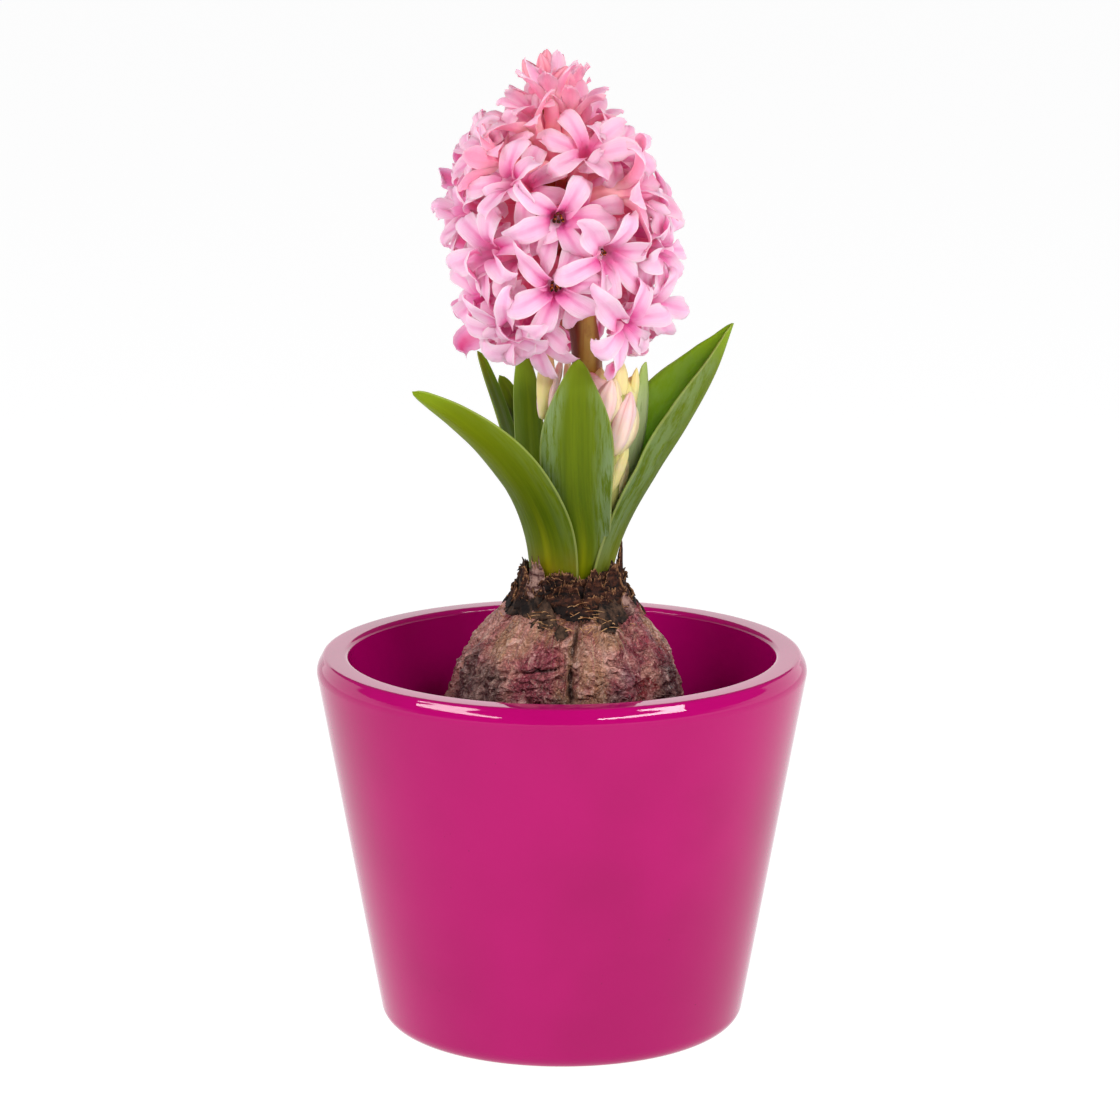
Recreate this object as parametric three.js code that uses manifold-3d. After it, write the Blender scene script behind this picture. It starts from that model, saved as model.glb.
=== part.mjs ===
// A forced hyacinth in a glazed pot: one bulb half sunk in soil, its leaves, its flower stalk with a
// dense head of recurved florets, and a second stalk still in bud. Millimetres, +Z up, the origin on the
// pot's axis where the pot stands, and the front of the plant towards -Y.
import * as THREE from "three";
import { mergeVertices } from "three/addons/utils/BufferGeometryUtils.js";
import Module from "manifold-3d";

const wasm = await Module();
wasm.setup();
const DEG = Math.PI / 180;
const GAP = 0.35; // clearance between pieces that touch on the real plant

// Pot
const RIM_RADIUS = 62.5;
const POT_HEIGHT = 96.6;
const RIM_OPENING_RADIUS = 54.3;
const BASE_RADIUS = 46.8;
const BASE_FILLET = 4.8;
const RIM_FILLET = 4.3;
const RIM_INNER_FILLET = 2.2;
const WALL = 8.2;
const FLOOR = 8;
const FLOOR_CORNER = 6; // the inside corner, where the wall meets the floor
const FOOT_INNER = 36;
const FOOT_OUTER = 42;
const FOOT_RECESS = 2;
const POT_SIDES = 56;

// Soil
const SOIL_LEVEL = 66;
const SOIL_BUMP = 1.6;
const SOIL_CROWN = 1.6; // the middle stands this much higher than the edge
const SOIL_SIDES = 36;

// Bulb: [height, radius] up its side, then how far each height leans to the right
const BULB_SIDES = 32;
const BULB_PROFILE = [
  [44, 6],
  [46.5, 16],
  [52, 25],
  [60, 30.2],
  [70, 31.9],
  [77, 31.4],
  [84, 29.9],
  [91, 27.9],
  [97, 24.9],
  [101.5, 21.2],
  [105, 17.3],
  [109, 13.4],
];
const BULB_LEAN = [
  [44, 0.2],
  [76, 0.3],
  [84, 0.8],
  [97, 1.8],
  [105, 2.5],
  [109, 2.2],
];
const CLEFT_ANGLE = -84 * DEG;
const CLEFT_WIDTH = 9 * DEG;
const CLEFT_DEPTH = 2.4;
const SKIN_FREE = [72, 86]; // ribs and cleft come in over these heights, above the soil
const SKIN_SHUT = [104, 109]; // and go again over these, where the neck is round
const NECK = { x: 2.2, y: 0, top: 109, floor: 101, hollow: 11.8 };

// Collar of dry scale tips
const COLLAR_SIDES = 30;
const COLLAR_TIP = 114.2;
const COLLAR_TIP_SPREAD = 3.2;
const COLLAR_HEM = 103.6;
const COLLAR_HEM_SPREAD = 3.6;
const FLAKES = [
  { angle: 205, width: 16, height: 5 },
  { angle: 352, width: 9, height: 8 },
];

// Leaves stand in two rings inside the bulb's neck
const OUTER_RING = 10.3;
const INNER_RING = 8.3;
const LEAF_FOOT = NECK.floor + GAP;
const LEAF_THICKNESS = 1.5;
const LEAF_EDGE = 0.7;
const LEAF_TAPER = 0.45; // share of the thickness lost by the tip
const LEAF_THINNEST = 0.6;

// Flower head: florets follow a 3/8 spiral, eight of them to three turns of the stalk
const STALK_RADIUS = [[101, 4.3], [150, 3.9], [190, 3.7], [243, 2.1]];
const HEAD_BOTTOM = 184;
const HEAD_CORE_TOP = 243;
const TURN = -135 * DEG;
const FACING_FLORET = 15; // this one, counted from the lowest, faces the front at full width
const FACING_HEIGHT = 211.4;
const FLORET_PITCH = 2.05;
const CROWDED_FROM = 8; // florets above the facing one before the pitch shrinks
const CROWDED_RISE = 14; // height that all the crowded ones share
const CROWDED_RATE = 7;
const FLORET_COUNT = 31;
const TIP_BUDS = 6;

// By the height of a floret's throat: the head's centre, how far out the throat is, how steeply it looks up,
// how far its lobes open and how long they are
const HEAD_CENTRE = [[172, 0], [200, -0.8], [216, -3], [240, -3.6]];
const SPREAD = [
  [180, 20], [190, 23.5], [200, 25], [212, 24.6], [222, 21.5], [228, 17], [233, 10], [237, 6],
];
const TILT = [[180, -30], [190, -16], [200, -3], [211, 6], [222, 22], [228, 38], [233, 60], [237, 74]];
const OPENING = [[180, 1], [224, 1], [229, 0.8], [233, 0.5], [237, 0.34]];
const REACH = [[180, 16], [222, 16], [230, 14], [237, 11]];

// One floret
const PEDICEL_RADIUS = 1.5;
const TUBE_RADIUS = 2.9;
const TUBE_LENGTH = 9;
const THROAT_RADIUS = 3.4;
const THROAT_DEPTH = 4;
const LOBE_START = 12 * DEG;
const LOBE_ROLL = 200 * DEG;
const OUTER_STATIONS = [
  [0.4, 3.1],
  [0.76, 2.5],
  [1, 0],
];
const INNER_STATIONS = [
  [0.52, 3],
  [1, 0],
];
const INNER_SHARE = 0.92; // an inner lobe's length and roll against an outer one's

// Bud spike: its stem as [height, x, y], then the spiral of buds up it
const BUD_AXIS = [[LEAF_FOOT, 8.2, -1.9], [118, 8.7, -2.7], [138, 12.2, -5.8], [164, 14.2, -6.8]];
const BUD_STEM_RADIUS = [[118, 1.2], [138, 2.2], [164, 1.6]];
const BUD_COUNT = 11;
const BUD_FOOT = 135;
const BUD_PITCH = 2.6;
const BUD_TURN = 137.5 * DEG;
const BUD_SHAPE = [[0, 0.28], [0.3, 0.85], [0.6, 1], [0.85, 0.6], [1, 0.15]];

// How far something is drawn at random, the same on each run: 0 to 1 for floret or bud k.
function draw(k, salt) {
  const value = Math.sin(k * 12.9898 + salt * 78.233) * 43758.5453;
  return value - Math.floor(value);
}

// A value read off a short list of [place, value] pairs, straight between them.
function along(list, place) {
  if (place <= list[0][0]) return list[0][1];
  for (let i = 1; i < list.length; i++) {
    const [a, va] = list[i - 1];
    const [b, vb] = list[i];
    if (place <= b) return va + ((vb - va) * (place - a)) / (b - a);
  }
  return list[list.length - 1][1];
}

function geometryFrom(points, triangles) {
  const geometry = new THREE.BufferGeometry();
  const numbers = points.flatMap((p) => [p.x, p.y, p.z]);
  geometry.setAttribute("position", new THREE.Float32BufferAttribute(numbers, 3));
  geometry.setIndex(triangles);
  return geometry;
}

function solid(geometry) {
  const bare = geometry.clone();
  bare.deleteAttribute("normal");
  bare.deleteAttribute("uv");
  const merged = mergeVertices(bare, 1e-4);
  return new wasm.Manifold(
    new wasm.Mesh({
      numProp: 3,
      vertProperties: merged.attributes.position.array,
      triVerts: new Uint32Array(merged.index.array),
    }),
  );
}

function geometryOf(manifold) {
  const mesh = manifold.getMesh();
  const geometry = new THREE.BufferGeometry();
  geometry.setAttribute("position", new THREE.BufferAttribute(mesh.vertProperties, 3));
  geometry.setIndex(new THREE.BufferAttribute(mesh.triVerts, 1));
  return geometry;
}

// A closed skin over rings of points that run anticlockwise seen from their far end; both ends are fans.
function skin(rings) {
  const sides = rings[0].length;
  const points = rings.flat();
  const triangles = [];
  for (let r = 0; r + 1 < rings.length; r++)
    for (let i = 0; i < sides; i++) {
      const a = r * sides + i;
      const b = r * sides + ((i + 1) % sides);
      triangles.push(a, b, b + sides, a, b + sides, a + sides);
    }
  const middle = (ring) => ring.reduce((sum, p) => sum.add(p), new THREE.Vector3()).divideScalar(sides);
  const last = (rings.length - 1) * sides;
  const foot = points.push(middle(rings[0])) - 1;
  const head = points.push(middle(rings[rings.length - 1])) - 1;
  for (let i = 0; i < sides; i++) {
    const next = (i + 1) % sides;
    triangles.push(foot, next, i, head, last + i, last + next);
  }
  return geometryFrom(points, triangles);
}

// A ring that closes on itself: each column is a closed outline, and column follows column round.
function band(columns) {
  const size = columns[0].length;
  const count = columns.length;
  const triangles = [];
  for (let c = 0; c < count; c++)
    for (let i = 0; i < size; i++) {
      const a = c * size + i;
      const b = ((c + 1) % count) * size + i;
      const c2 = ((c + 1) % count) * size + ((i + 1) % size);
      const d = c * size + ((i + 1) % size);
      triangles.push(a, b, c2, a, c2, d);
    }
  return geometryFrom(columns.flat(), triangles);
}

function arc(x, y, radius, from, to, steps) {
  const points = [];
  for (let i = 0; i <= steps; i++) {
    const angle = (from + ((to - from) * i) / steps) * DEG;
    points.push(new THREE.Vector2(x + radius * Math.cos(angle), y + radius * Math.sin(angle)));
  }
  return points;
}

const WALL_SLOPE = (RIM_RADIUS - BASE_RADIUS) / (POT_HEIGHT - RIM_FILLET - BASE_FILLET);
const innerRadius = (z) => BASE_RADIUS + WALL_SLOPE * (z - BASE_FILLET) - WALL;

// The pot is one thick wall turned round: foot ring, rounded base, straight taper and rounded rim.
function potGeometry() {
  const v = (x, y) => new THREE.Vector2(x, y);
  const rimInner = POT_HEIGHT - RIM_INNER_FILLET;
  const corner = innerRadius(FLOOR + FLOOR_CORNER);
  const profile = [
    v(0, FOOT_RECESS),
    v(FOOT_INNER - FOOT_RECESS, FOOT_RECESS),
    v(FOOT_INNER, 0),
    v(FOOT_OUTER, 0),
    ...arc(BASE_RADIUS - BASE_FILLET, BASE_FILLET, BASE_FILLET, -60, 0, 2),
    ...arc(RIM_RADIUS - RIM_FILLET, POT_HEIGHT - RIM_FILLET, RIM_FILLET, 0, 90, 3),
    ...arc(RIM_OPENING_RADIUS + RIM_INNER_FILLET, rimInner, RIM_INNER_FILLET, 90, 180, 2),
    v(corner, FLOOR + FLOOR_CORNER),
    v(corner - 0.4 * FLOOR_CORNER, FLOOR + 0.25 * FLOOR_CORNER),
    v(corner - 1.2 * FLOOR_CORNER, FLOOR),
    v(0, FLOOR),
  ];
  return new THREE.LatheGeometry(profile, POT_SIDES).rotateX(Math.PI / 2);
}

// The bulb's outer radius, with its front cleft and the low ribs of its scales; extra swells it.
function bulbRing(z, extra) {
  const ring = [];
  const smoothstep = THREE.MathUtils.smoothstep;
  const free = smoothstep(z, ...SKIN_FREE) * (1 - smoothstep(z, ...SKIN_SHUT));
  for (let i = 0; i < BULB_SIDES; i++) {
    const angle = (i / BULB_SIDES) * 2 * Math.PI - Math.PI;
    const toCleft = (angle - CLEFT_ANGLE) / CLEFT_WIDTH;
    const ribs = 0.45 * Math.cos(6 * angle + 0.6) + 0.3 * Math.cos(11 * angle + z * 0.05);
    const dent = CLEFT_DEPTH * Math.exp(-toCleft * toCleft);
    const radius = along(BULB_PROFILE, z) + extra + free * (ribs - dent);
    const lean = along(BULB_LEAN, z);
    ring.push(new THREE.Vector3(lean + radius * Math.cos(angle), radius * Math.sin(angle), z));
  }
  return ring;
}

function circle(x, y, z, radius, sides) {
  const ring = [];
  for (let i = 0; i < sides; i++) {
    const angle = (i / sides) * 2 * Math.PI - Math.PI;
    ring.push(new THREE.Vector3(x + radius * Math.cos(angle), y + radius * Math.sin(angle), z));
  }
  return ring;
}

function bulbGeometry() {
  const rings = BULB_PROFILE.map(([z]) => bulbRing(z, 0));
  rings.push(circle(NECK.x, NECK.y, NECK.top, NECK.hollow, BULB_SIDES));
  rings.push(circle(NECK.x, NECK.y, NECK.floor, NECK.hollow, BULB_SIDES));
  return skin(rings);
}

// The soil fills the pot to its level, with a plain hole where the bulb sits.
function soilGeometry() {
  const wall = (z) => innerRadius(z) - GAP;
  const corner = wall(FLOOR + FLOOR_CORNER);
  const top = wall(SOIL_LEVEL);
  const shapes = [
    [FLOOR + GAP, corner - 1.2 * FLOOR_CORNER],
    [FLOOR + 0.25 * FLOOR_CORNER + GAP, corner - 0.45 * FLOOR_CORNER],
    [FLOOR + FLOOR_CORNER + GAP, corner],
    [SOIL_LEVEL, top - 0.2],
    [SOIL_LEVEL + 0.6 * SOIL_CROWN, top - 6],
    [SOIL_LEVEL + SOIL_CROWN, top - 11],
    [SOIL_LEVEL + 0.75 * SOIL_CROWN, 31],
    [SOIL_LEVEL + 0.6 * SOIL_CROWN, 20],
  ];
  const rings = shapes.map(([z, radius], row) => {
    const ring = circle(0, 0, z, radius, SOIL_SIDES);
    if (z > SOIL_LEVEL) ring.forEach((p, i) => (p.z += SOIL_BUMP * (draw(i, row) - 0.5)));
    return ring;
  });
  const hole = BULB_PROFILE.map(([z]) => bulbRing(z, GAP));
  hole[0].forEach((p) => (p.z -= GAP));
  return geometryOf(solid(skin(rings)).subtract(solid(skin(hole))));
}

// Dark dry scale tips stand round the neck as a ragged sleeve that rests on the bulb's shoulder.
function collarGeometry() {
  const columns = [];
  for (let i = 0; i < COLLAR_SIDES; i++) {
    const angle = (i / COLLAR_SIDES) * 360;
    const ragged = draw(i, 7);
    const flake = FLAKES.reduce((sum, f) => sum + f.height * Math.exp(-(((angle - f.angle) / f.width) ** 2)), 0);
    const tip = COLLAR_TIP + COLLAR_TIP_SPREAD * ragged + (i % 2) * 1.6 + flake;
    const hem = COLLAR_HEM + COLLAR_HEM_SPREAD * draw(i, 9);
    const seat = along(BULB_PROFILE, hem) + GAP + 0.8;
    const flare = 0.12 * (tip - COLLAR_TIP);
    const outline = [
      [seat, hem],
      [seat + 1.1, hem + 0.3],
      [15.9 + 0.6 * ragged, NECK.top + 0.4],
      [13.9 + 0.4 * ragged, NECK.top + 3.4],
      [13.2 + flare, tip],
      [12.4 + flare, tip - 0.4],
      [12.3, NECK.top + 2],
      [14.2, NECK.top + 0.6],
    ];
    const [x, y] = outward(angle);
    columns.push(outline.map(([radius, z]) => new THREE.Vector3(NECK.x + radius * x, radius * y, z)));
  }
  return band(columns);
}

// A blade follows its midrib. width is the half width and fold how far its edges stand in from the midrib's
// face; back is the way the outer face looks at foot and tip. Both faces are split into triangles alike.
function bladeGeometry({ path, width, fold, back, rows = 11, columns = 4 }) {
  const curve = new THREE.CatmullRomCurve3(path.map((p) => new THREE.Vector3(...p)));
  const [backFoot, backMid, backTip] = back.map((p) => new THREE.Vector3(...p).normalize());
  const points = [];
  for (let r = 0; r <= rows; r++) {
    const t = r / rows;
    const centre = curve.getPointAt(t);
    const forward = curve.getTangentAt(t);
    const low = t < 0.5;
    const towards = (low ? backFoot : backMid).clone().lerp(low ? backMid : backTip, t * 2 - (low ? 0 : 1));
    const face = towards.addScaledVector(forward, -towards.dot(forward)).normalize();
    const across = forward.clone().cross(face);
    const half = along(width, t);
    const depth = along(fold, t);
    for (let c = 0; c <= columns; c++) {
      const u = (2 * c) / columns - 1;
      const thick = (LEAF_THICKNESS + (LEAF_EDGE - LEAF_THICKNESS) * Math.abs(u)) * (1 - LEAF_TAPER * t);
      const outer = centre
        .clone()
        .addScaledVector(across, half * u)
        .addScaledVector(face, -depth * u * u);
      points.push(outer, outer.clone().addScaledVector(face, -Math.max(thick, LEAF_THINNEST)));
    }
  }
  const outer = (r, c) => 2 * (r * (columns + 1) + c);
  const inner = (r, c) => outer(r, c) + 1;
  const triangles = [];
  const quad = (a, b, c, d) => triangles.push(a, b, c, a, c, d);
  for (let r = 0; r < rows; r++) {
    for (let c = 0; c < columns; c++) {
      quad(outer(r, c), outer(r, c + 1), outer(r + 1, c + 1), outer(r + 1, c));
      triangles.push(inner(r, c), inner(r + 1, c + 1), inner(r, c + 1));
      triangles.push(inner(r, c), inner(r + 1, c), inner(r + 1, c + 1));
    }
    quad(inner(r, 0), outer(r, 0), outer(r + 1, 0), inner(r + 1, 0));
    quad(outer(r, columns), inner(r, columns), inner(r + 1, columns), outer(r + 1, columns));
  }
  for (let c = 0; c < columns; c++) {
    quad(outer(0, c + 1), outer(0, c), inner(0, c), inner(0, c + 1));
    quad(outer(rows, c), outer(rows, c + 1), inner(rows, c + 1), inner(rows, c));
  }
  return geometryFrom(points, triangles);
}

const outward = (angle, drop = 0) => [Math.cos(angle * DEG), Math.sin(angle * DEG), drop];

// Where a leaf leaves the neck: its foot on one of the two rings, at an angle seen from above.
function foot(ring, angle, z = LEAF_FOOT) {
  const [x, y] = outward(angle);
  return [NECK.x + ring * x, NECK.y + ring * y, z];
}

const LEAVES = {
  leaf_left: {
    path: [foot(OUTER_RING, -132), foot(OUTER_RING + 0.2, -132, 114), [-6.4, -10.5, 128], [-10.6, -14.5, 140],
      [-17.2, -20, 151.5], [-26, -25, 161], [-36.6, -29, 168.6]],
    width: [[0, 6.3], [0.15, 6.7], [0.35, 7.6], [0.6, 7.2], [0.8, 5.2], [0.93, 3], [1, 1.1]],
    fold: [[0, 2.2], [0.3, 2.2], [0.6, 1.7], [1, 0.4]],
    back: [outward(-132), [-0.62, -0.78, -0.3], [-0.35, -0.8, -0.5]],
    columns: 6,
  },
  leaf_front: {
    path: [foot(INNER_RING, -74), foot(INNER_RING + 0.2, -74, 113), [5.4, -11.2, 126], [4.2, -14.6, 139],
      [3.8, -16.6, 151], [3.8, -16.6, 164], [4.1, -15, 174.4]],
    width: [[0, 4.4], [0.2, 4.7], [0.4, 7.6], [0.6, 9.4], [0.74, 9.1], [0.9, 5.2], [1, 1.2]],
    fold: [[0, 1.2], [0.3, 1.7], [0.6, 2.2], [0.85, 1.4], [1, 0.3]],
    back: [outward(-74), [0.06, -1, -0.1], [0.02, -1, 0.1]],
    columns: 6,
  },
  leaf_right: {
    path: [foot(OUTER_RING, -18), foot(OUTER_RING + 0.4, -18, 114), [16.4, -3.7, 129], [23.8, -2, 143],
      [32, 0, 155.6], [39, 1.5, 169], [43.2, 2.5, 180.6]],
    width: [[0, 5], [0.2, 5.2], [0.45, 5.6], [0.75, 4.8], [0.92, 2.8], [1, 0.9]],
    fold: [[0, 1.4], [0.25, 1.7], [0.42, 4.4], [0.58, 7.2], [0.75, 6.6], [0.92, 3], [1, 0.5]],
    back: [outward(-18), [0.78, 0.28, -0.5], [0.84, 0.24, -0.4]],
    columns: 6,
  },
  leaf_right_upright: {
    path: [foot(INNER_RING, 32), foot(INNER_RING + 0.4, 32, 114), [13.4, 5, 128], [17.2, 5.8, 141],
      [20.2, 6, 153], [21.3, 6, 162], [21.4, 5.8, 169.5]],
    width: [[0, 3.3], [0.3, 4], [0.65, 4], [0.9, 2.4], [1, 1]],
    fold: [[0, 0.8], [0.5, 1.4], [1, 0.4]],
    back: [outward(32), [0.9, -0.42, -0.2], [0.9, -0.42, -0.1]],
  },
  leaf_left_back: {
    path: [foot(OUTER_RING, 150), foot(OUTER_RING + 0.4, 151, 113), [-8.6, 5.8, 128], [-12, 8, 142],
      [-16, 10, 156], [-19.6, 11, 166.3], [-21.6, 12, 172]],
    width: [[0, 3.7], [0.3, 4], [0.65, 3.6], [0.9, 2.2], [1, 0.9]],
    fold: [[0, 0.9], [0.5, 1.6], [1, 0.4]],
    back: [outward(150), [-0.85, 0.35, -0.4], [-0.7, 0.6, -0.4]],
  },
  leaf_left_middle: {
    path: [foot(INNER_RING, -162), foot(INNER_RING, -162, 114), [-5, -3.2, 127], [-7, -2.8, 140],
      [-8.4, -2.2, 152], [-9.1, -1.6, 162], [-9.6, -1.2, 169]],
    width: [[0, 3], [0.3, 3.4], [0.6, 4.3], [0.88, 3.4], [1, 1.4]],
    fold: [[0, 0.9], [0.5, 0.8], [1, 0.3]],
    back: [outward(-162), [-0.45, -0.88, 0], [-0.3, -0.95, 0]],
  },
  leaf_back: {
    path: [foot(OUTER_RING, 96), foot(OUTER_RING + 0.2, 96, 113), [-1.5, 13.4, 128], [-6.6, 15.4, 143],
      [-12, 16.5, 156], [-16, 17, 165]],
    width: [[0, 4.4], [0.3, 5], [0.65, 5], [0.9, 2.8], [1, 1]],
    fold: [[0, 1.1], [0.5, 1.8], [1, 0.4]],
    back: [outward(96), [-0.5, 0.85, -0.2], [-0.5, 0.85, -0.2]],
  },
};

// The stalk bows to the right above the neck and carries the head leaning back to the left.
const STALK_PATH = [
  [101, 2.4, 0.5],
  [130, 4.4, 1.5],
  [150, 6, 2],
  [165, 6.6, 2],
  [176, 6, 1.5],
  [187, 3.8, 0.8],
  [198, 1.4, 0],
  [216, -2.2, 0],
  [240, -3.6, 0],
  [250, -4, 0],
];
const stalkAt = (z) => [1, 2].map((axis) => along(STALK_PATH.map((p) => [p[0], p[axis]]), z));

// The bare stalk, up to the lowest florets; the head's own core goes on from there.
function stalkGeometry() {
  const heights = [LEAF_FOOT, 130, 150, 165, 176, HEAD_BOTTOM - GAP];
  return skin(heights.map((z) => circle(...stalkAt(z), z, along(STALK_RADIUS, z), 10)));
}

// A floret stands with its throat at the origin and looks along +Z: a tube behind, then six lobes that roll
// back, three long outer ones and three shorter inner ones. open is the share of the full roll.
function floretGeometry({ tube, open, reach, roll }) {
  const points = [];
  const triangles = [];
  const put = (radius, angle, z, side = 0) => {
    const x = radius * Math.cos(angle) - side * Math.sin(angle);
    const y = radius * Math.sin(angle) + side * Math.cos(angle);
    return points.push(new THREE.Vector3(x, y, z)) - 1;
  };
  const quad = (a, b, c, d) => triangles.push(a, b, c, a, c, d);
  const sixth = [0, 1, 2, 3, 4, 5];
  const middle = (i) => 60 * DEG * i + roll;
  const gap = (i) => middle(i) - 30 * DEG;
  const root = sixth.map((i) => put(PEDICEL_RADIUS, middle(i), -tube));
  const waist = sixth.map((i) => put(TUBE_RADIUS, middle(i), -TUBE_LENGTH));
  const rim = sixth.map((i) => put(THROAT_RADIUS, gap(i), 0));
  const crest = sixth.map((i) => put(THROAT_RADIUS + 0.3, middle(i), 0));
  const lip = sixth.map((i) => put(THROAT_RADIUS - 0.9, gap(i), -0.3));
  const pit = put(0, 0, -THROAT_DEPTH);
  for (const i of sixth) {
    const next = (i + 1) % 6;
    quad(root[i], root[next], waist[next], waist[i]);
    triangles.push(waist[i], crest[i], rim[i], waist[i], rim[next], crest[i], waist[i], waist[next], rim[next]);
    triangles.push(lip[i], lip[next], pit);
    if (i > 0 && i < 5) triangles.push(root[0], root[i + 1], root[i]);
    const outer = i % 2 === 0;
    const size = outer ? 1 : INNER_SHARE;
    const curve = lobeCurve(size * reach, size * LOBE_ROLL * open);
    const rings = (outer ? OUTER_STATIONS : INNER_STATIONS).map(([share, half]) => {
      const { radius, height, angle } = curve(share);
      const lift = (h) => [radius - Math.cos(angle) * h, middle(i), height + Math.sin(angle) * h];
      return half
        ? { left: put(...lift(0.45), -half), back: put(...lift(-0.75)), right: put(...lift(0.45), half) }
        : { left: put(...lift(0)) };
    });
    const tip = rings.pop().left;
    quad(rim[i], crest[i], rings[0].back, rings[0].left);
    quad(crest[i], rim[next], rings[0].right, rings[0].back);
    quad(lip[next], lip[i], rings[0].left, rings[0].right);
    triangles.push(rim[i], rings[0].left, lip[i], rings[0].right, rim[next], lip[next]);
    for (let r = 0; r + 1 < rings.length; r++) {
      const [a, b] = [rings[r], rings[r + 1]];
      quad(a.left, a.back, b.back, b.left);
      quad(a.back, a.right, b.right, b.back);
      quad(a.right, a.left, b.left, b.right);
    }
    const last = rings[rings.length - 1];
    triangles.push(last.left, last.back, tip, last.back, last.right, tip, last.right, last.left, tip);
  }
  return geometryFrom(points, triangles);
}

// The way a lobe rolls back from the throat: its slope grows evenly from start to end over its length.
function lobeCurve(length, end) {
  return (share) => {
    const steps = 24;
    let radius = THROAT_RADIUS - 0.1;
    let height = 0;
    for (let s = 0; s < steps; s++) {
      const angle = LOBE_START + (end - LOBE_START) * share * ((s + 0.5) / steps);
      radius += (Math.sin(angle) * length * share) / steps;
      height += (Math.cos(angle) * length * share) / steps;
    }
    return { radius, height, angle: LOBE_START + (end - LOBE_START) * share };
  };
}

// The height of floret k's throat: an even climb up the spiral, then ever closer towards the tip.
function throatHeight(k) {
  const up = k - FACING_FLORET;
  const crowded = Math.max(up - CROWDED_FROM, 0);
  const even = FACING_HEIGHT + FLORET_PITCH * Math.min(up, CROWDED_FROM);
  return even + CROWDED_RISE * (1 - Math.exp(-crowded / CROWDED_RATE));
}

function placedFloret(k) {
  const z = throatHeight(k) + 1.2 * (draw(k, 1) - 0.5);
  const azimuth = -90 * DEG + TURN * (k - FACING_FLORET) + 12 * DEG * (draw(k, 2) - 0.5);
  const tilt = (along(TILT, z) + 12 * (draw(k, 3) - 0.5)) * DEG;
  const radius = along(SPREAD, z) + 2.4 * (draw(k, 4) - 0.5);
  const out = new THREE.Vector3(Math.cos(azimuth), Math.sin(azimuth), 0);
  const throat = out.clone().multiplyScalar(radius).add(new THREE.Vector3(along(HEAD_CENTRE, z), 0, z));
  const foot = z - radius * Math.tan(tilt);
  const pedicel = throat.clone().sub(new THREE.Vector3(...stalkAt(foot), foot));
  const facing = pedicel.clone().normalize();
  const geometry = floretGeometry({
    tube: pedicel.length(),
    open: along(OPENING, z) * (0.9 + 0.2 * draw(k, 5)),
    reach: along(REACH, z) * (0.94 + 0.12 * draw(k, 6)),
    roll: 60 * DEG * draw(k, 8),
  });
  const side = new THREE.Vector3(0, 0, 1).cross(facing).normalize();
  const up = facing.clone().cross(side);
  return geometry.applyMatrix4(new THREE.Matrix4().makeBasis(side, up, facing).setPosition(throat));
}

// All florets and tip buds are joined with the stalk's core, so the head is one body.
function headGeometry() {
  const heights = [HEAD_BOTTOM, 195, 208, 220, 232, HEAD_CORE_TOP];
  let head = solid(skin(heights.map((z) => circle(...stalkAt(z), z, along(STALK_RADIUS, z), 8))));
  for (let k = 0; k < FLORET_COUNT; k++) head = head.add(solid(placedFloret(k)));
  for (let k = 0; k < TIP_BUDS; k++) head = head.add(solid(tipBud(k)));
  return geometryOf(head);
}

// A spindle-shaped bud of the given length and greatest radius, turned to look along facing from its foot.
function budGeometry(length, thick, facing, x, y, z) {
  const turn = new THREE.Quaternion().setFromUnitVectors(new THREE.Vector3(0, 0, 1), facing);
  const rings = BUD_SHAPE.map(([share, wide]) => circle(0, 0, share * length, wide * thick, 6));
  return skin(rings).applyQuaternion(turn).translate(x, y, z);
}

const looking = (azimuth, tilt) =>
  new THREE.Vector3(Math.cos(azimuth) * Math.cos(tilt), Math.sin(azimuth) * Math.cos(tilt), Math.sin(tilt));

// The head ends in a tuft of florets that are still closed.
function tipBud(k) {
  const facing = looking(TURN * k - 60 * DEG, (52 + 7 * k) * DEG);
  const z = HEAD_CORE_TOP - 7 + k;
  return budGeometry(12.6 - 0.8 * k, 2.9 - 0.15 * k, facing, ...stalkAt(z), z);
}

const budAxis = (z) => [1, 2].map((axis) => along(BUD_AXIS.map((p) => [p[0], p[axis]]), z));

// The second stalk holds closed buds that overlap upwards, each a pointed spindle.
function budSpikeGeometry() {
  const rings = BUD_AXIS.map(([z]) => circle(...budAxis(z), z, along(BUD_STEM_RADIUS, z), 6));
  let spike = solid(skin(rings));
  for (let k = 0; k < BUD_COUNT; k++) {
    const z = BUD_FOOT + BUD_PITCH * k;
    const facing = looking(BUD_TURN * k + 0.4, (70 - 1.2 * k) * DEG);
    spike = spike.add(solid(budGeometry(13.5 - 0.12 * k, 2.5 + 0.07 * k, facing, ...budAxis(z), z)));
  }
  return geometryOf(spike);
}

const GLAZE = new THREE.MeshStandardMaterial({ color: 0xba2b73, roughness: 0.16, metalness: 0 });
const SOIL = new THREE.MeshStandardMaterial({ color: 0x33241a, roughness: 0.95, metalness: 0 });
const TUNIC = new THREE.MeshStandardMaterial({ color: 0x864c52, roughness: 0.6, metalness: 0 });
const DRY_SCALE = new THREE.MeshStandardMaterial({ color: 0x482a1e, roughness: 0.85, metalness: 0 });
const LEAF = new THREE.MeshStandardMaterial({ color: 0x566712, roughness: 0.42, metalness: 0 });
const STALK = new THREE.MeshStandardMaterial({ color: 0x7a5330, roughness: 0.5, metalness: 0 });
const PETAL = new THREE.MeshStandardMaterial({ color: 0xeba8c9, roughness: 0.5, metalness: 0 });
const BUD = new THREE.MeshStandardMaterial({ color: 0xeed0ca, roughness: 0.5, metalness: 0 });

const plant = new THREE.Group();

function place(name, geometry, material) {
  const mesh = new THREE.Mesh(geometry, material);
  mesh.name = name;
  plant.add(mesh);
}

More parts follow.
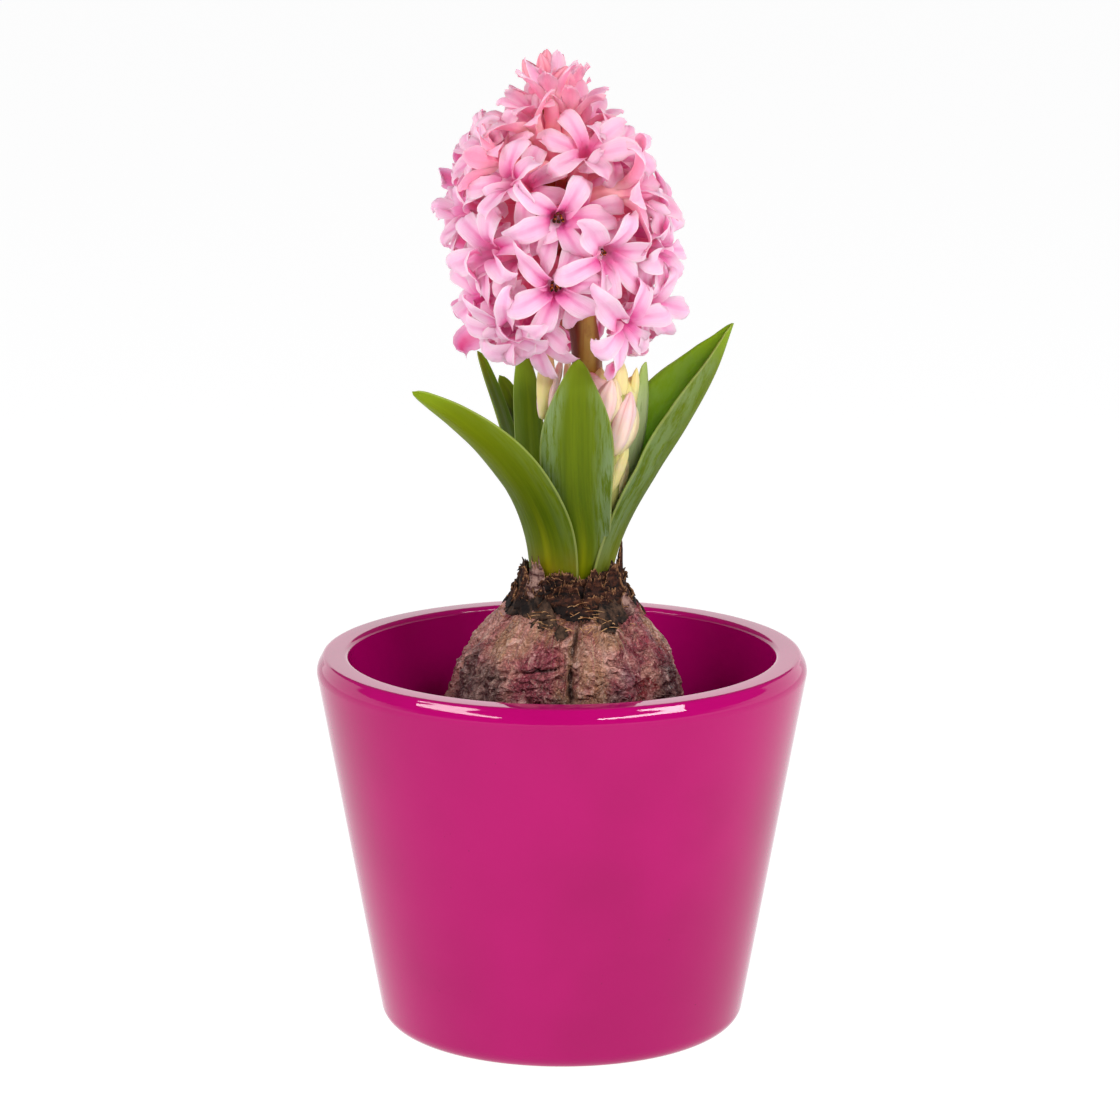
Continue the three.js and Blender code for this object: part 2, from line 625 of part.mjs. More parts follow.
place("pot", potGeometry(), GLAZE);
place("soil", soilGeometry(), SOIL);
place("bulb", bulbGeometry(), TUNIC);
place("scale_collar", collarGeometry(), DRY_SCALE);
for (const [name, shape] of Object.entries(LEAVES)) place(name, bladeGeometry(shape), LEAF);
place("flower_stalk", stalkGeometry(), STALK);
place("flower_head", headGeometry(), PETAL);
place("bud_spike", budSpikeGeometry(), BUD);

export default plant;
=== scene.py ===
import math
import random

import bpy
from mathutils import Matrix, Vector, noise


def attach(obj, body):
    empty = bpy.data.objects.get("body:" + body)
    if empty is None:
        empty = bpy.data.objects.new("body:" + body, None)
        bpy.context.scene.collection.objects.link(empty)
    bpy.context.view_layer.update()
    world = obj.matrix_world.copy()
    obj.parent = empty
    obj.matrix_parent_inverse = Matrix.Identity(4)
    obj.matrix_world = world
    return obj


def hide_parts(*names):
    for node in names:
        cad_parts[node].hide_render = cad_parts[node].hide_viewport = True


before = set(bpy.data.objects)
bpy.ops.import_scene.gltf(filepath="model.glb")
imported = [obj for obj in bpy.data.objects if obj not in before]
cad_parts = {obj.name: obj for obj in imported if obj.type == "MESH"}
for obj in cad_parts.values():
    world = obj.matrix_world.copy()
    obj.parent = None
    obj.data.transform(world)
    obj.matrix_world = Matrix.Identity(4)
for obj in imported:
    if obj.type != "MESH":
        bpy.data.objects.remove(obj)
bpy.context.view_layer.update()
scene = bpy.context.scene
MM = 0.001


# The room: a camera a metre in front that looks twelve degrees down over a wide pale floor. A wall of white
# light behind the plant dims towards the camera and ends some nineteen degrees up, a low pale band runs all
# round, and two long soft boxes in front, left and right, make the streaks on the pot's rim.
class Wire:
    """One output in a node tree. Operators on it add the tree's own maths nodes."""

    def __init__(self, socket):
        self.socket = socket

    def node(self, kind, settings, sockets, out=0):
        """Adds any node: its settings first, then the values or links of its sockets, by name or number."""
        made = self.socket.id_data.nodes.new(kind)
        for name, value in settings.items():
            setattr(made, name, value)
        for name, value in sockets.items():
            join(made, name, value)
        return Wire(made.outputs[out])

    def maths(self, operation, first, second=0.0):
        return self.node("ShaderNodeMath", {"operation": operation}, {0: first, 1: second})

    def __add__(self, other):
        return self.maths("ADD", self, other)

    def __sub__(self, other):
        return self.maths("SUBTRACT", self, other)

    def __rsub__(self, other):
        return self.maths("SUBTRACT", other, self)

    def __mul__(self, other):
        return self.maths("MULTIPLY", self, other)

    __radd__ = __add__
    __rmul__ = __mul__

    def size(self):
        """The value without its sign."""
        return self.maths("ABSOLUTE", self)

    def rise(self, low, high):
        """0 up to low and 1 from high on, with a soft step between; it falls where low is the greater."""
        limits = {"Value": self, "From Min": low, "From Max": high}
        return self.node("ShaderNodeMapRange", {"interpolation_type": "SMOOTHSTEP"}, limits)

    def between(self, first, second):
        """A colour that goes from first to second as this value goes from 0 to 1."""
        return self.node("ShaderNodeMix", {"data_type": "RGBA"}, {0: self, 6: first, 7: second}, out=2)

    def parts(self):
        """The three parts of a vector."""
        split = self.node("ShaderNodeSeparateXYZ", {}, {0: self}).socket.node
        return [Wire(out) for out in split.outputs]

    def stretched(self, x, y, z):
        return self.node("ShaderNodeVectorMath", {"operation": "MULTIPLY"}, {0: self, 1: (x, y, z)})

    def speckle(self, scale, detail=4.0, rough=0.55, twist=0.0):
        """Noise from 0 to 1 at so many spots to the metre of this vector."""
        sockets = {"Vector": self, "Scale": scale, "Detail": detail, "Roughness": rough, "Distortion": twist}
        return self.node("ShaderNodeTexNoise", {}, sockets)

    def own(self, name, out="Vector"):
        """What the points of the piece say under a name."""
        return self.node("ShaderNodeAttribute", {"attribute_name": name}, {}, out)


def join(node, name, value):
    if isinstance(value, Wire):
        node.id_data.links.new(value.socket, node.inputs[name])
    else:
        node.inputs[name].default_value = value


def paint(red, green, blue):
    """A colour as it is read off a screen, 0 to 255, made linear for a shader."""
    linear = [c / 3294.6 if c <= 10.3 else ((c / 255 + 0.055) / 1.055) ** 2.4 for c in (red, green, blue)]
    return (*linear, 1.0)


def layered(base, *coats):
    """A colour under coats of others, each a mask from 0 to 1 with its colour."""
    for mask, colour in coats:
        base = mask.between(base, colour if isinstance(colour, Wire) else paint(*colour))
    return base


scene.view_settings.view_transform = "Standard"
LOOK_DOWN = math.radians(12.145)
lens = bpy.data.cameras.new("camera")
lens.sensor_width = 36
lens.lens = 131.35
camera = bpy.data.objects.new("camera", lens)
camera.location = (-0.0005, -1.0145, 0.3387)
camera.rotation_euler = (math.pi / 2 - LOOK_DOWN, 0, 0)
scene.collection.objects.link(camera)
scene.camera = camera

room = bpy.data.worlds.new("room")
room.use_nodes = True
scene.world = room
backdrop = room.node_tree.nodes["Background"]
behind, up = Wire(room.node_tree.nodes.new("ShaderNodeTexCoord").outputs["Generated"]).parts()[1:]
lit = behind.rise(-0.45, 0.3) * up.rise(0.34, 0.31) + up.rise(0.15, 0.13)
join(backdrop, "Color", lit.between((0.09, 0.09, 0.095, 1), (1, 1, 1, 1)))
join(backdrop, "Strength", 1.55)

# Each soft box: its bearing in degrees from the camera's side, its watts and its width in metres
BOX_AWAY, BOX_UP, BOX_HEIGHT = 0.8, 0.68, 0.085
for bearing, watts, wide in ((-54, 4.2, 0.7), (41, 5.6, 0.68)):
    soft_box = bpy.data.lights.new("soft_box", "AREA")
    soft_box.energy = watts
    soft_box.shape = "RECTANGLE"
    soft_box.size, soft_box.size_y = wide, BOX_HEIGHT
    lamp = bpy.data.objects.new("soft_box", soft_box)
    turn = math.radians(bearing)
    lamp.location = (BOX_AWAY * math.sin(turn), -BOX_AWAY * math.cos(turn), BOX_UP)
    lamp.rotation_euler = (Vector((0, 0, 0.13)) - lamp.location).to_track_quat("-Z", "Y").to_euler()
    scene.collection.objects.link(lamp)

FLOOR_HALF = 12
floor_paint = bpy.data.materials.new("pale_floor")
floor_paint.use_nodes = True
floor_surface = floor_paint.node_tree.nodes["Principled BSDF"]
join(floor_surface, "Base Color", (0.2, 0.2, 0.2, 1))
join(floor_surface, "Roughness", 0.8)
join(floor_surface, "Specular IOR Level", 0.0)
join(floor_surface, "Emission Color", (1, 1, 1, 1))
join(floor_surface, "Emission Strength", 0.93)
floor_corners = [(x * FLOOR_HALF, y * FLOOR_HALF, 0) for x, y in ((-1, -1), (1, -1), (1, 1), (-1, 1))]
floor_mesh = bpy.data.meshes.new("floor")
floor_mesh.from_pydata(floor_corners, [], [(0, 1, 2, 3)])
floor_mesh.materials.append(floor_paint)
floor = bpy.data.objects.new("floor", floor_mesh)
scene.collection.objects.link(floor)


# The pot is cast earthenware under a thick glossy magenta glaze: a straight taper with a heavy rounded rim
# and a low foot ring, whose underside is left bare so that it doesn't stick to the kiln shelf.
def new_finish(name, **sockets):
    """A material, the place on the piece in metres, and a function that sets the surface's sockets."""
    material = bpy.data.materials.new(name)
    material.use_nodes = True
    tree = material.node_tree

    def over(**wires):
        for socket, value in wires.items():
            join(tree.nodes["Principled BSDF"], socket.replace("_", " "), value)

    over(**sockets)
    return material, Wire(tree.nodes.new("ShaderNodeTexCoord").outputs["Object"]), over


def bumped(height, depth, strength=1.0):
    """A surface normal for a height from 0 to 1 that stands so many metres proud."""
    return height.node("ShaderNodeBump", {}, {"Strength": strength, "Distance": depth, "Height": height})


def skin(rings):
    """The points and faces over rings, each anticlockwise seen from the last one; one point is a pole."""
    points, faces, starts = [], [], []
    for ring in rings:
        starts.append(len(points))
        points += ring
    for row in range(len(rings) - 1):
        low, high = len(rings[row]), len(rings[row + 1])
        for i in range(max(low, high)):
            corners = [starts[row] + i % low, starts[row] + (i + 1) % low]
            corners += [starts[row + 1] + (i + 1) % high, starts[row + 1] + i % high]
            faces.append(list(dict.fromkeys(corners)))
    return points, faces


def turned(profile, sides):
    """Rings of a profile of (radius, height) pairs turned round the Z axis; radius 0 makes a pole."""
    angles = [2 * math.pi * i / sides for i in range(sides)]
    return [
        [(r * math.cos(a), r * math.sin(a), z) for a in angles] if r else [(0.0, 0.0, z)] for r, z in profile
    ]


def shaped(name, points, faces, marks, material):
    """A smooth mesh from points in millimetres; marks are named values for each point."""
    mesh = bpy.data.meshes.new(name)
    mesh.from_pydata([Vector(p) * MM for p in points], [], faces)
    for label, values in marks.items():
        wide = not isinstance(values[0], (int, float))
        layer = mesh.attributes.new(label, "FLOAT_VECTOR" if wide else "FLOAT", "POINT")
        flat = [part for value in values for part in value] if wide else values
        layer.data.foreach_set("vector" if wide else "value", flat)
    mesh.shade_smooth()
    mesh.materials.append(material)
    return mesh


def stood(name, mesh, slot, *nodes):
    """The mesh as a piece that rides on the part and stands for its CAD nodes."""
    piece = bpy.data.objects.new(name, mesh)
    scene.collection.objects.link(piece)
    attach(piece, "root")
    if nodes:
        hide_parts(*nodes)
    return piece


def arc(x, y, radius, start, end, steps):
    """(radius, height) pairs round a fillet, between two angles in degrees."""
    turns = [math.radians(start + (end - start) * i / steps) for i in range(steps + 1)]
    return [(x + radius * math.cos(a), y + radius * math.sin(a)) for a in turns]


RIM_RADIUS, POT_HEIGHT, RIM_OPENING = 62.5, 96.6, 54.3
BASE_RADIUS, BASE_FILLET, RIM_FILLET, LIP_FILLET, RIM_SQUARE = 46.8, 4.8, 4.3, 1.4, 1.7
FOOT_INNER, FOOT_OUTER, FOOT_RECESS, FOOT_FILLET = 36, 42, 2, 0.8
WALL, POT_FLOOR, FLOOR_CORNER = 8.2, 8, 6
POT_SIDES, WALL_STEPS = 400, 12
WALL_SLOPE = (RIM_RADIUS - BASE_RADIUS) / (POT_HEIGHT - RIM_FILLET - BASE_FILLET)


def inner_wall(z):
    return BASE_RADIUS + WALL_SLOPE * (z - BASE_FILLET) - WALL


wall_turn = math.degrees(math.atan(WALL_SLOPE))
corner = inner_wall(POT_FLOOR + FLOOR_CORNER)
pot_profile = [(0, FOOT_RECESS), (FOOT_INNER - FOOT_RECESS - 1, FOOT_RECESS)]
pot_profile += arc(FOOT_INNER + FOOT_FILLET, FOOT_FILLET, FOOT_FILLET, 180, 270, 4)
pot_profile += arc(FOOT_OUTER - FOOT_FILLET, FOOT_FILLET, FOOT_FILLET, 270, 330, 4)
pot_profile += arc(BASE_RADIUS - BASE_FILLET, BASE_FILLET, BASE_FILLET, -62, -wall_turn, 12)
rim_start = (RIM_RADIUS - RIM_FILLET, POT_HEIGHT - RIM_FILLET)
rim_round = arc(*rim_start, RIM_FILLET, -wall_turn, 90, 40)
# The rim's top is nearly flat: its rounded edge is drawn out towards the outside as it turns over
rim_round = [(r + RIM_SQUARE * ((z - rim_start[1]) / RIM_FILLET) ** 6, z) for r, z in rim_round]
rim_round[-1] = (rim_round[-1][0], POT_HEIGHT)
low, high = pot_profile[-1], rim_round[0]
for i in range(1, WALL_STEPS):
    r, z = [a + (b - a) * i / WALL_STEPS for a, b in zip(low, high)]
    pot_profile.append((r, z))
pot_profile += rim_round
pot_profile += arc(RIM_OPENING + LIP_FILLET, POT_HEIGHT - LIP_FILLET, LIP_FILLET, 90, 178, 12)
pot_profile += [(inner_wall(z), z) for z in (90, 80, 66, 50, 32, POT_FLOOR + FLOOR_CORNER)]
pot_profile += [(corner - 2.4, POT_FLOOR + 1.5), (corner - 7.2, POT_FLOOR), (0, POT_FLOOR)]

glaze, place, over = new_finish("magenta_glaze", Specular_IOR_Level=0.24, IOR=1.5)
bare = place.parts()[2].rise(0.0007, 0.0004)
cloud = place.speckle(16, 3)
pinhole = place.speckle(900, 1).rise(0.8, 0.83)
pooled = cloud.rise(0.35, 0.7).between(paint(181, 1, 105), paint(168, 1, 95))
over(
    Base_Color=layered(pooled, (pinhole * 0.5, (120, 0, 60)), (bare, (214, 196, 176))),
    Roughness=bare * 0.7 + cloud * 0.02 + 0.02,
    Normal=bumped(place.speckle(40, 1) + bare * place.speckle(1500, 3), 0.00003, 0.25),
)
stood("pot", shaped("pot", *skin(turned(pot_profile, POT_SIDES)), {}, glaze), "pink_glaze", "pot")


# The soil is peaty potting mix, filled by hand round the bulb to thirty millimetres under the rim: dark
# crumbs of several sizes over an uneven bed, with a few paler fibres.
def collected(name, meshes):
    """Meshes put in a collection of their own, off the scene, for a tree to pick copies from."""
    kinds = bpy.data.collections.new(name)
    for number, mesh in enumerate(meshes):
        kinds.objects.link(bpy.data.objects.new(f"{name}_{number:02d}", mesh))
    return kinds


def new_tree(name, inputs):
    """A Geometry Nodes tree with its named inputs, and a function that adds a node and returns it."""
    tree = bpy.data.node_groups.new(name, "GeometryNodeTree")
    tree.interface.new_socket("Geometry", in_out="OUTPUT", socket_type="NodeSocketGeometry")
    tree.interface.new_socket("Geometry", in_out="INPUT", socket_type="NodeSocketGeometry")
    for label, kind in inputs.items():
        tree.interface.new_socket(label, in_out="INPUT", socket_type="NodeSocket" + kind)

    def add(kind, sockets, **settings):
        node = tree.nodes.new(kind)
        for label, value in settings.items():
            setattr(node, label, value)
        for label, value in sockets.items():
            if isinstance(value, bpy.types.NodeSocket):
                tree.links.new(value, node.inputs[label])
            else:
                node.inputs[label].default_value = value
        return node

    return tree, add


def copied(add, given, sockets):
    """Nodes that put a copy of one of the Kinds on each point."""
    kinds = {0: given["Kinds"], "Separate Children": True, "Reset Children": True}
    kind = add("GeometryNodeCollectionInfo", kinds).outputs[0]
    sockets = {"Instance": kind, "Pick Instance": True, **sockets}
    return add("GeometryNodeInstanceOnPoints", sockets).outputs[0]


def dressed(add, given, geometry):
    """Nodes that make copies real, give them the Material and pass them out."""
    real = add("GeometryNodeRealizeInstances", {0: geometry}).outputs[0]
    coloured = add("GeometryNodeSetMaterial", {0: real, "Material": given["Material"]})
    add("NodeGroupOutput", {0: coloured.outputs[0]})


def grown(mesh, tree, inputs):
    """The plain mesh that a tree makes of a mesh, with its inputs set by their identifiers."""
    carrier = bpy.data.objects.new("carrier", mesh)
    scene.collection.objects.link(carrier)
    modifier = carrier.modifiers.new("grown", "NODES")
    modifier.node_group = tree
    for socket in tree.interface.items_tree:
        if socket.in_out == "INPUT" and socket.name in inputs:
            modifier[socket.identifier] = inputs[socket.name]
    bpy.context.view_layer.update()
    result = bpy.data.meshes.new_from_object(carrier.evaluated_get(bpy.context.evaluated_depsgraph_get()))
    carrier.modifiers.remove(modifier)
    bpy.data.objects.remove(carrier)
    result.shade_smooth()
    return result


SOIL_LEVEL, SOIL_SIDES, BED_RINGS = 66, 120, 16
CRUMB_KINDS, CRUMB_SIDES, CRUMB_DENSITY = 4, 5, 260000.0
soil_finish, place, over = new_finish("potting_soil", Specular_IOR_Level=0.25)
grain = place.speckle(420, 6, 0.7)
fibre = place.stretched(1, 0.15, 1).speckle(700, 2).rise(0.66, 0.72)
peat = grain.rise(0.3, 0.75).between(paint(26, 17, 12), paint(78, 54, 38))
over(
    Base_Color=layered(
        peat, (place.speckle(90, 3).rise(0.5, 0.75) * 0.6, (50, 32, 22)), (fibre * 0.7, (132, 100, 66))
    ),
    Roughness=0.95 - fibre * 0.1,
    Normal=bumped(grain, 0.0005, 0.8),
)


def wobble(x, y, z):
    """A smooth random value, between -1 and 1, that belongs to a place."""
    return noise.noise(Vector((x, y, z)))


def uneven(x, y):
    """How far the soil's surface stands above its level at a place."""
    return 1.6 * wobble(x * 0.06, y * 0.06, 4) + 0.8 * wobble(x * 0.25, y * 0.25, 9)


soil_profile = [(0, 8.4), (corner - 7.2, 8.4), (corner - 3, 9.9), (corner - 0.4, 14.4)]
soil_profile += [(inner_wall(z) - 0.4, z) for z in (30, 50, SOIL_LEVEL - 2)]
for i in range(BED_RINGS):
    soil_profile.append((inner_wall(SOIL_LEVEL) - 0.5 - 1.4 * i, SOIL_LEVEL + min(i, 6) * 0.25))
soil_profile.append((0, SOIL_LEVEL + 1.2))
bed = []
for ring in turned(soil_profile, SOIL_SIDES):
    bed.append([(x, y, z + (uneven(x, y) if z >= SOIL_LEVEL else 0)) for x, y, z in ring])

draw = random.Random(7)
crumbs = []
for number in range(CRUMB_KINDS):
    rings = [[(0, 0, -1)]]
    for start, height in ((1, -0.5), (2, 0.5)):
        rings.append([])
        for i in range(CRUMB_SIDES):
            turn = math.tau * i / CRUMB_SIDES + start
            towards = Vector((math.cos(turn), math.sin(turn), height)).normalized()
            rings[-1].append(towards * draw.uniform(0.75, 1.15))
    crumbs.append(shaped("crumb", *skin([*rings, [(0, 0, 1)]]), {}, soil_finish))

inputs = {"Kinds": "Collection", "Density": "Float", "Least": "Float", "Most": "Float", "Seed": "Int"}
scatter, add = new_tree("strewn_crumbs", {**inputs, "Material": "Material"})
given = add("NodeGroupInput", {}).outputs
slope = add("ShaderNodeSeparateXYZ", {0: add("GeometryNodeInputNormal", {}).outputs[0]}).outputs[2]
upward = add("FunctionNodeCompare", {0: slope, 1: 0.5}, operation="GREATER_THAN").outputs[0]
spots = {"Mesh": given["Geometry"], "Selection": upward, "Density": given["Density"], "Seed": given["Seed"]}
turns = add("FunctionNodeRandomValue", {0: (0, 0, 0), 1: (6.28, 6.28, 6.28)}, data_type="FLOAT_VECTOR")
size_range = {2: given["Least"], 3: given["Most"], "Seed": given["Seed"]}
strewn = copied(add, given, {
    "Points": add("GeometryNodeDistributePointsOnFaces", spots).outputs["Points"],
    "Rotation": turns.outputs[0],
    "Scale": add("FunctionNodeRandomValue", size_range, data_type="FLOAT").outputs[1],
})
both = add("GeometryNodeJoinGeometry", {0: strewn})
scatter.links.new(given["Geometry"], both.inputs[0])
dressed(add, given, both.outputs[0])

crumb_inputs = {"Density": CRUMB_DENSITY, "Least": 0.55, "Most": 1.5, "Seed": 3, "Material": soil_finish}
soil_bed = shaped("soil", *skin(bed), {}, soil_finish)
soil_mesh = grown(soil_bed, scatter, {"Kinds": collected("crumb", crumbs), **crumb_inputs})
stood("soil", soil_mesh, "potting_soil", "soil")


# The bulb sits half sunk in the soil. Its outer scales have dried to a purple papery skin, crumpled like old
# paper, streaked with tan near the neck and torn near the soil; a deep cleft at the front parts two halves.
BULB_PROFILE = [
    (44, 6), (46.5, 16), (52, 25), (60, 30.2), (70, 31.9), (77, 31.4), (84, 29.9),
    (91, 27.9), (97, 25.4), (101.5, 22.6), (105, 19.7), (108, 17.1), (111, 14.9), (114, 13.3),
]
BULB_LEAN = [(44, 0.2), (76, 0.3), (84, 0.8), (97, 1.4), (105, 1.8), (109, 2)]
CLEFT_PATH = [(70, -87), (90, -87.4), (97, -88.4), (102, -86), (106, -82), (110, -77)]
CLEFT_WIDTH, CLEFT_DEPTH = 9, 2.4
NECK = Vector((2.2, 0, 0))
BULB_SIDES, BULB_TOP = 440, 114
BURIED_LEVELS, SHOWN_FROM, LEVEL_STEP, LEVEL_COUNT = [44, 45, 47, 50, 54, 59, 64, 68], 70, 0.3, 148
# Each crease: angle in degrees, height, reach in degrees, slant, depth
CREASES = [
    (-106, 96.6, 12, 0.06, 1.9), (-104, 101.4, 9, -0.09, 0.5), (-113, 92.4, 10, 0.07, 0.7),
    (-102, 88.6, 8, -0.06, 0.6), (-66, 98.4, 8, -0.06, 0.6), (-52, 92.5, 9, 0.07, 1.1),
    (-131, 94, 9, 0.06, 0.9), (-60, 88.2, 12, -0.04, 1.0), (-40, 99.5, 7, 0.04, 0.5),
    (-20, 95, 10, -0.05, 0.9), (25, 97, 12, 0.05, 0.9), (-30, 87.5, 9, 0.05, 1.3),
    (70, 95, 10, -0.04, 0.9), (120, 98, 12, 0.05, 0.8), (165, 94, 10, 0.03, 0.9), (-165, 97, 9, -0.05, 0.9),
]
# The stains of each kind: angle in degrees, height, reach in degrees, reach in height
STAINS = {
    "wine": [
        (-108, 95, 13, 9), (-48, 98, 11, 8), (-68, 90, 8, 6), (-20, 92, 16, 8), (60, 94, 26, 9),
        (150, 93, 24, 9),
    ],
    "tan": [
        (-92, 97, 6, 14), (-76, 93, 9, 9), (-135, 103, 20, 5), (-100, 106, 22, 4), (-60, 105, 18, 4),
        (110, 102, 40, 6), (10, 103, 30, 5),
    ],
    "ash": [
        (-142, 90, 18, 7), (-18, 90, 15, 6), (-64, 87, 7, 5), (-160, 92, 10, 8), (-95, 86, 6, 5),
        (100, 86, 20, 6),
    ],
    "raw": [(-41, 91, 10, 3.4), (30, 86, 14, 3)],
    "slate": [(-56, 92, 5, 4)],
}


def along(pairs, at):
    """A value read off a list of (place, value) pairs, straight between them."""
    if at <= pairs[0][0]:
        return pairs[0][1]
    for (a, low), (b, high) in zip(pairs, pairs[1:]):
        if at <= b:
            return low + (high - low) * (at - a) / (b - a)
    return pairs[-1][1]


def smoothly(pairs, at):
    """The same, with the corners rounded off by a short running mean."""
    return sum(along(pairs, at + step) for step in (-2, -1, 0, 1, 2)) / 5


def step_up(at, low, high):
    share = min(max((at - low) / (high - low), 0), 1)
    return share * share * (3 - 2 * share)


def bell(at):
    return math.exp(-(at**2))


def degrees_from(angle, at):
    return (math.degrees(angle) - at + 180) % 360 - 180


def ridges(spot):
    """Sharp creases between soft swells, 0 in a crease and about half on a swell."""
    return min(abs(noise.noise(spot)) * 1.6, 0.5)


def cleft_at(angle, z):
    """How deep the cleft is at a place: a wide valley with a ragged slit down its middle."""
    jagged = wobble(0, 0, z * 0.45) + 0.5 * wobble(3, 0, z * 1.3)
    off = degrees_from(angle, smoothly(CLEFT_PATH, z) + 1.3 * jagged)
    slit = max(2.2 + 2.6 * wobble(7, 0, z * 0.3), 0.6)
    cleft = CLEFT_DEPTH * bell(off / CLEFT_WIDTH) + slit * bell(off / (1.2 + 0.4 * slit))
    return cleft * (1 - 0.75 * step_up(z, 103, 109))


def creases_at(angle, z):
    """How deep the crosswise creases are at a place; below 0 on the swell beside one."""
    creases = 0
    for at, level, reach, slant, depth in CREASES:
        away = degrees_from(angle, at)
        if abs(away) < 2 * reach:
            drop = (z - level - slant * away - 0.9 * wobble(away * 0.25, level, 0)) / 0.5
            fold = bell(drop) - 0.6 * math.exp(-((drop + 2.2) ** 2) / 2)
            creases += 1.3 * depth * fold * bell(away / reach)
    return creases


def stain_at(kind, angle, z):
    """How strong a kind of stain is at a place, from 0 to 1."""
    strongest = 0
    for at, level, wide, high in STAINS[kind]:
        strongest = max(strongest, bell(degrees_from(angle, at) / wide) * bell((z - level) / high))
    return strongest


def bulb_radius(angle, z):
    """The bulb's radius with its ribs, its cleft, its creases and the crumple of its dry skin."""
    free = step_up(z, 70, 84) * (1 - step_up(z, 110, 114))
    ribs = 0.45 * math.cos(6 * angle + 0.6) + 0.3 * math.cos(11 * angle + z * 0.05)
    spot = Vector((30 * math.cos(angle), 30 * math.sin(angle), z))
    bent = spot + 1.6 * Vector((noise.noise(spot * 0.2), noise.noise(spot * 0.2 + Vector((9, 0, 0))), 0))
    thread = Vector((bent.x * 1.4, bent.y * 1.4, 0.3 * min(z, 96) + 0.09 * max(z - 96, 0)))
    fine = 1.6 * ridges(bent * 0.22) + 1.1 * ridges(bent * 0.5) + 0.5 * ridges(spot * 1.1)
    crumple = 1.0 * noise.noise(spot * 0.12) + (1 - 0.35 * step_up(z, 98, 108)) * fine
    crumple += 0.4 * ridges(thread) - 0.95
    relief = ribs - cleft_at(angle, z) - creases_at(angle, z) + crumple
    return smoothly(BULB_PROFILE, z) + free * relief - 0.1


bulb_rings, threads, stains, folds = [[(0.2, 0, 43.6)]], [(0, 0, 5)], [(0, 0, 0)], [(0, 0, 0)]
for z in BURIED_LEVELS + [SHOWN_FROM + LEVEL_STEP * i for i in range(LEVEL_COUNT)]:
    lean = smoothly(BULB_LEAN, z)
    drawn_out = 0.5 * min(z, 96) + 0.13 * max(z - 96, 0)
    bulb_rings.append([])
    for i in range(BULB_SIDES):
        angle = math.tau * i / BULB_SIDES - math.pi
        r = bulb_radius(angle, z)
        bulb_rings[-1].append((lean + r * math.cos(angle), r * math.sin(angle), z))
        threads.append((30 * MM * math.cos(angle), 30 * MM * math.sin(angle), drawn_out * MM))
        wine = stain_at("wine", angle, z) - 1.6 * stain_at("raw", angle, z)
        stains.append((wine, stain_at("tan", angle, z), stain_at("ash", angle, z)))
        folds.append((creases_at(angle, z), cleft_at(angle, z), stain_at("slate", angle, z)))
bulb_rings.append([(NECK.x, 0, BULB_TOP - 0.5)])
threads.append((0, 0, 0.01))
stains.append((0, 0, 0))
folds.append((0, 0, 0))

tunic, place, over = new_finish("bulb_tunic", Specular_IOR_Level=0.5)
thread = place.own("fibre")
wine, tan, ash = place.own("stain").parts()
crease, cleft, slate = place.own("fold").parts()
swirl = thread.speckle(260, 7, 0.68, 0.7)
crackle = (place.speckle(250, 3, 0.5, 0.7) - 0.5).size()
fine_crackle = (place.speckle(560, 2, 0.5, 0.7) - 0.5).size()
hair = thread.speckle(1500, 2)
patch = place.speckle(85, 5, 0.65)
grit = place.speckle(1400, 3, 0.7)
wrinkled = crackle.rise(0.0, 0.12) + fine_crackle.rise(0.0, 0.1) * 0.35 + swirl * 0.8 + hair * 0.15
over(
    Base_Color=layered(
        patch.rise(0.36, 0.58).between(paint(168, 70, 84), paint(216, 150, 134)),
        (wine.rise(0.12, 0.6) * patch.rise(0.8, 0.45) * 0.95, (156, 62, 78)),
        (tan.rise(0.15, 0.7) * swirl.rise(0.36, 0.6) * 0.8, (182, 134, 84)),
        (ash.rise(0.1, 0.6) * patch.rise(0.25, 0.5) * 0.85, (62, 30, 32)),
        (wine.rise(-0.15, -0.6) * 0.85, (150, 20, 32)),
        # Painted highlight on the raised fibre streaks and painted shade in the grooves between them, where
        # the bump lifts and sinks the skin
        (swirl.rise(0.5, 0.66) * 0.5, (226, 180, 166)),
        (swirl.rise(0.44, 0.28) * 0.5, (104, 34, 50)),
        (slate * patch.rise(0.35, 0.6) * 0.8, (128, 126, 142)),
        # Painted shade in the crosswise creases of the skin
        (crease.rise(0.7, 1.8) * 0.8, (44, 8, 20)),
        (cleft.rise(0.8, 2.4) * patch.rise(0.3, 0.6) * 0.6, (150, 116, 84)),
        # Painted shade down the deep slit of the cleft
        (cleft.rise(3.0, 5.0) * 0.8, (34, 18, 12)),
        # Painted highlight on the ridges of the crumpled skin
        (crackle.rise(0.08, 0.2) * patch.rise(0.3, 0.6) * 0.45, (244, 202, 192)),
        # Painted fine shade and highlight that stand in for the small relief of the skin catching the light
        (grit.rise(0.48, 0.32) * 0.4, (104, 34, 46)),
        (grit.rise(0.54, 0.68) * patch.rise(0.3, 0.55) * 0.5, (250, 214, 196)),
        # Painted shade in the troughs of the wrinkles
        (crackle.rise(0.026, 0.0) * patch.rise(0.66, 0.4) * 0.85, (52, 12, 24)),
        (fine_crackle.rise(0.018, 0.0) * patch.rise(0.7, 0.4) * 0.5, (78, 30, 36)),
        (hair.rise(0.6, 0.74) * (0.25 + tan.rise(0.1, 0.8) * 0.5), (226, 196, 160)),
        (grit.rise(0.62, 0.7) * ash.rise(0.0, 0.6) * 0.8, (34, 26, 24)),
        # Painted shade over the bulb's lower part, down inside the pot
        (place.parts()[2].rise(0.096, 0.08) * 0.7, (58, 18, 30)),
    ),
    Roughness=0.24 + patch * 0.3,
    Normal=bumped(wrinkled, 0.0009),
)
bulb_marks = {"fibre": threads, "stain": stains, "fold": folds}
stood("bulb", shaped("bulb", *skin(bulb_rings), bulb_marks, tunic), "bulb_tunic", "bulb")


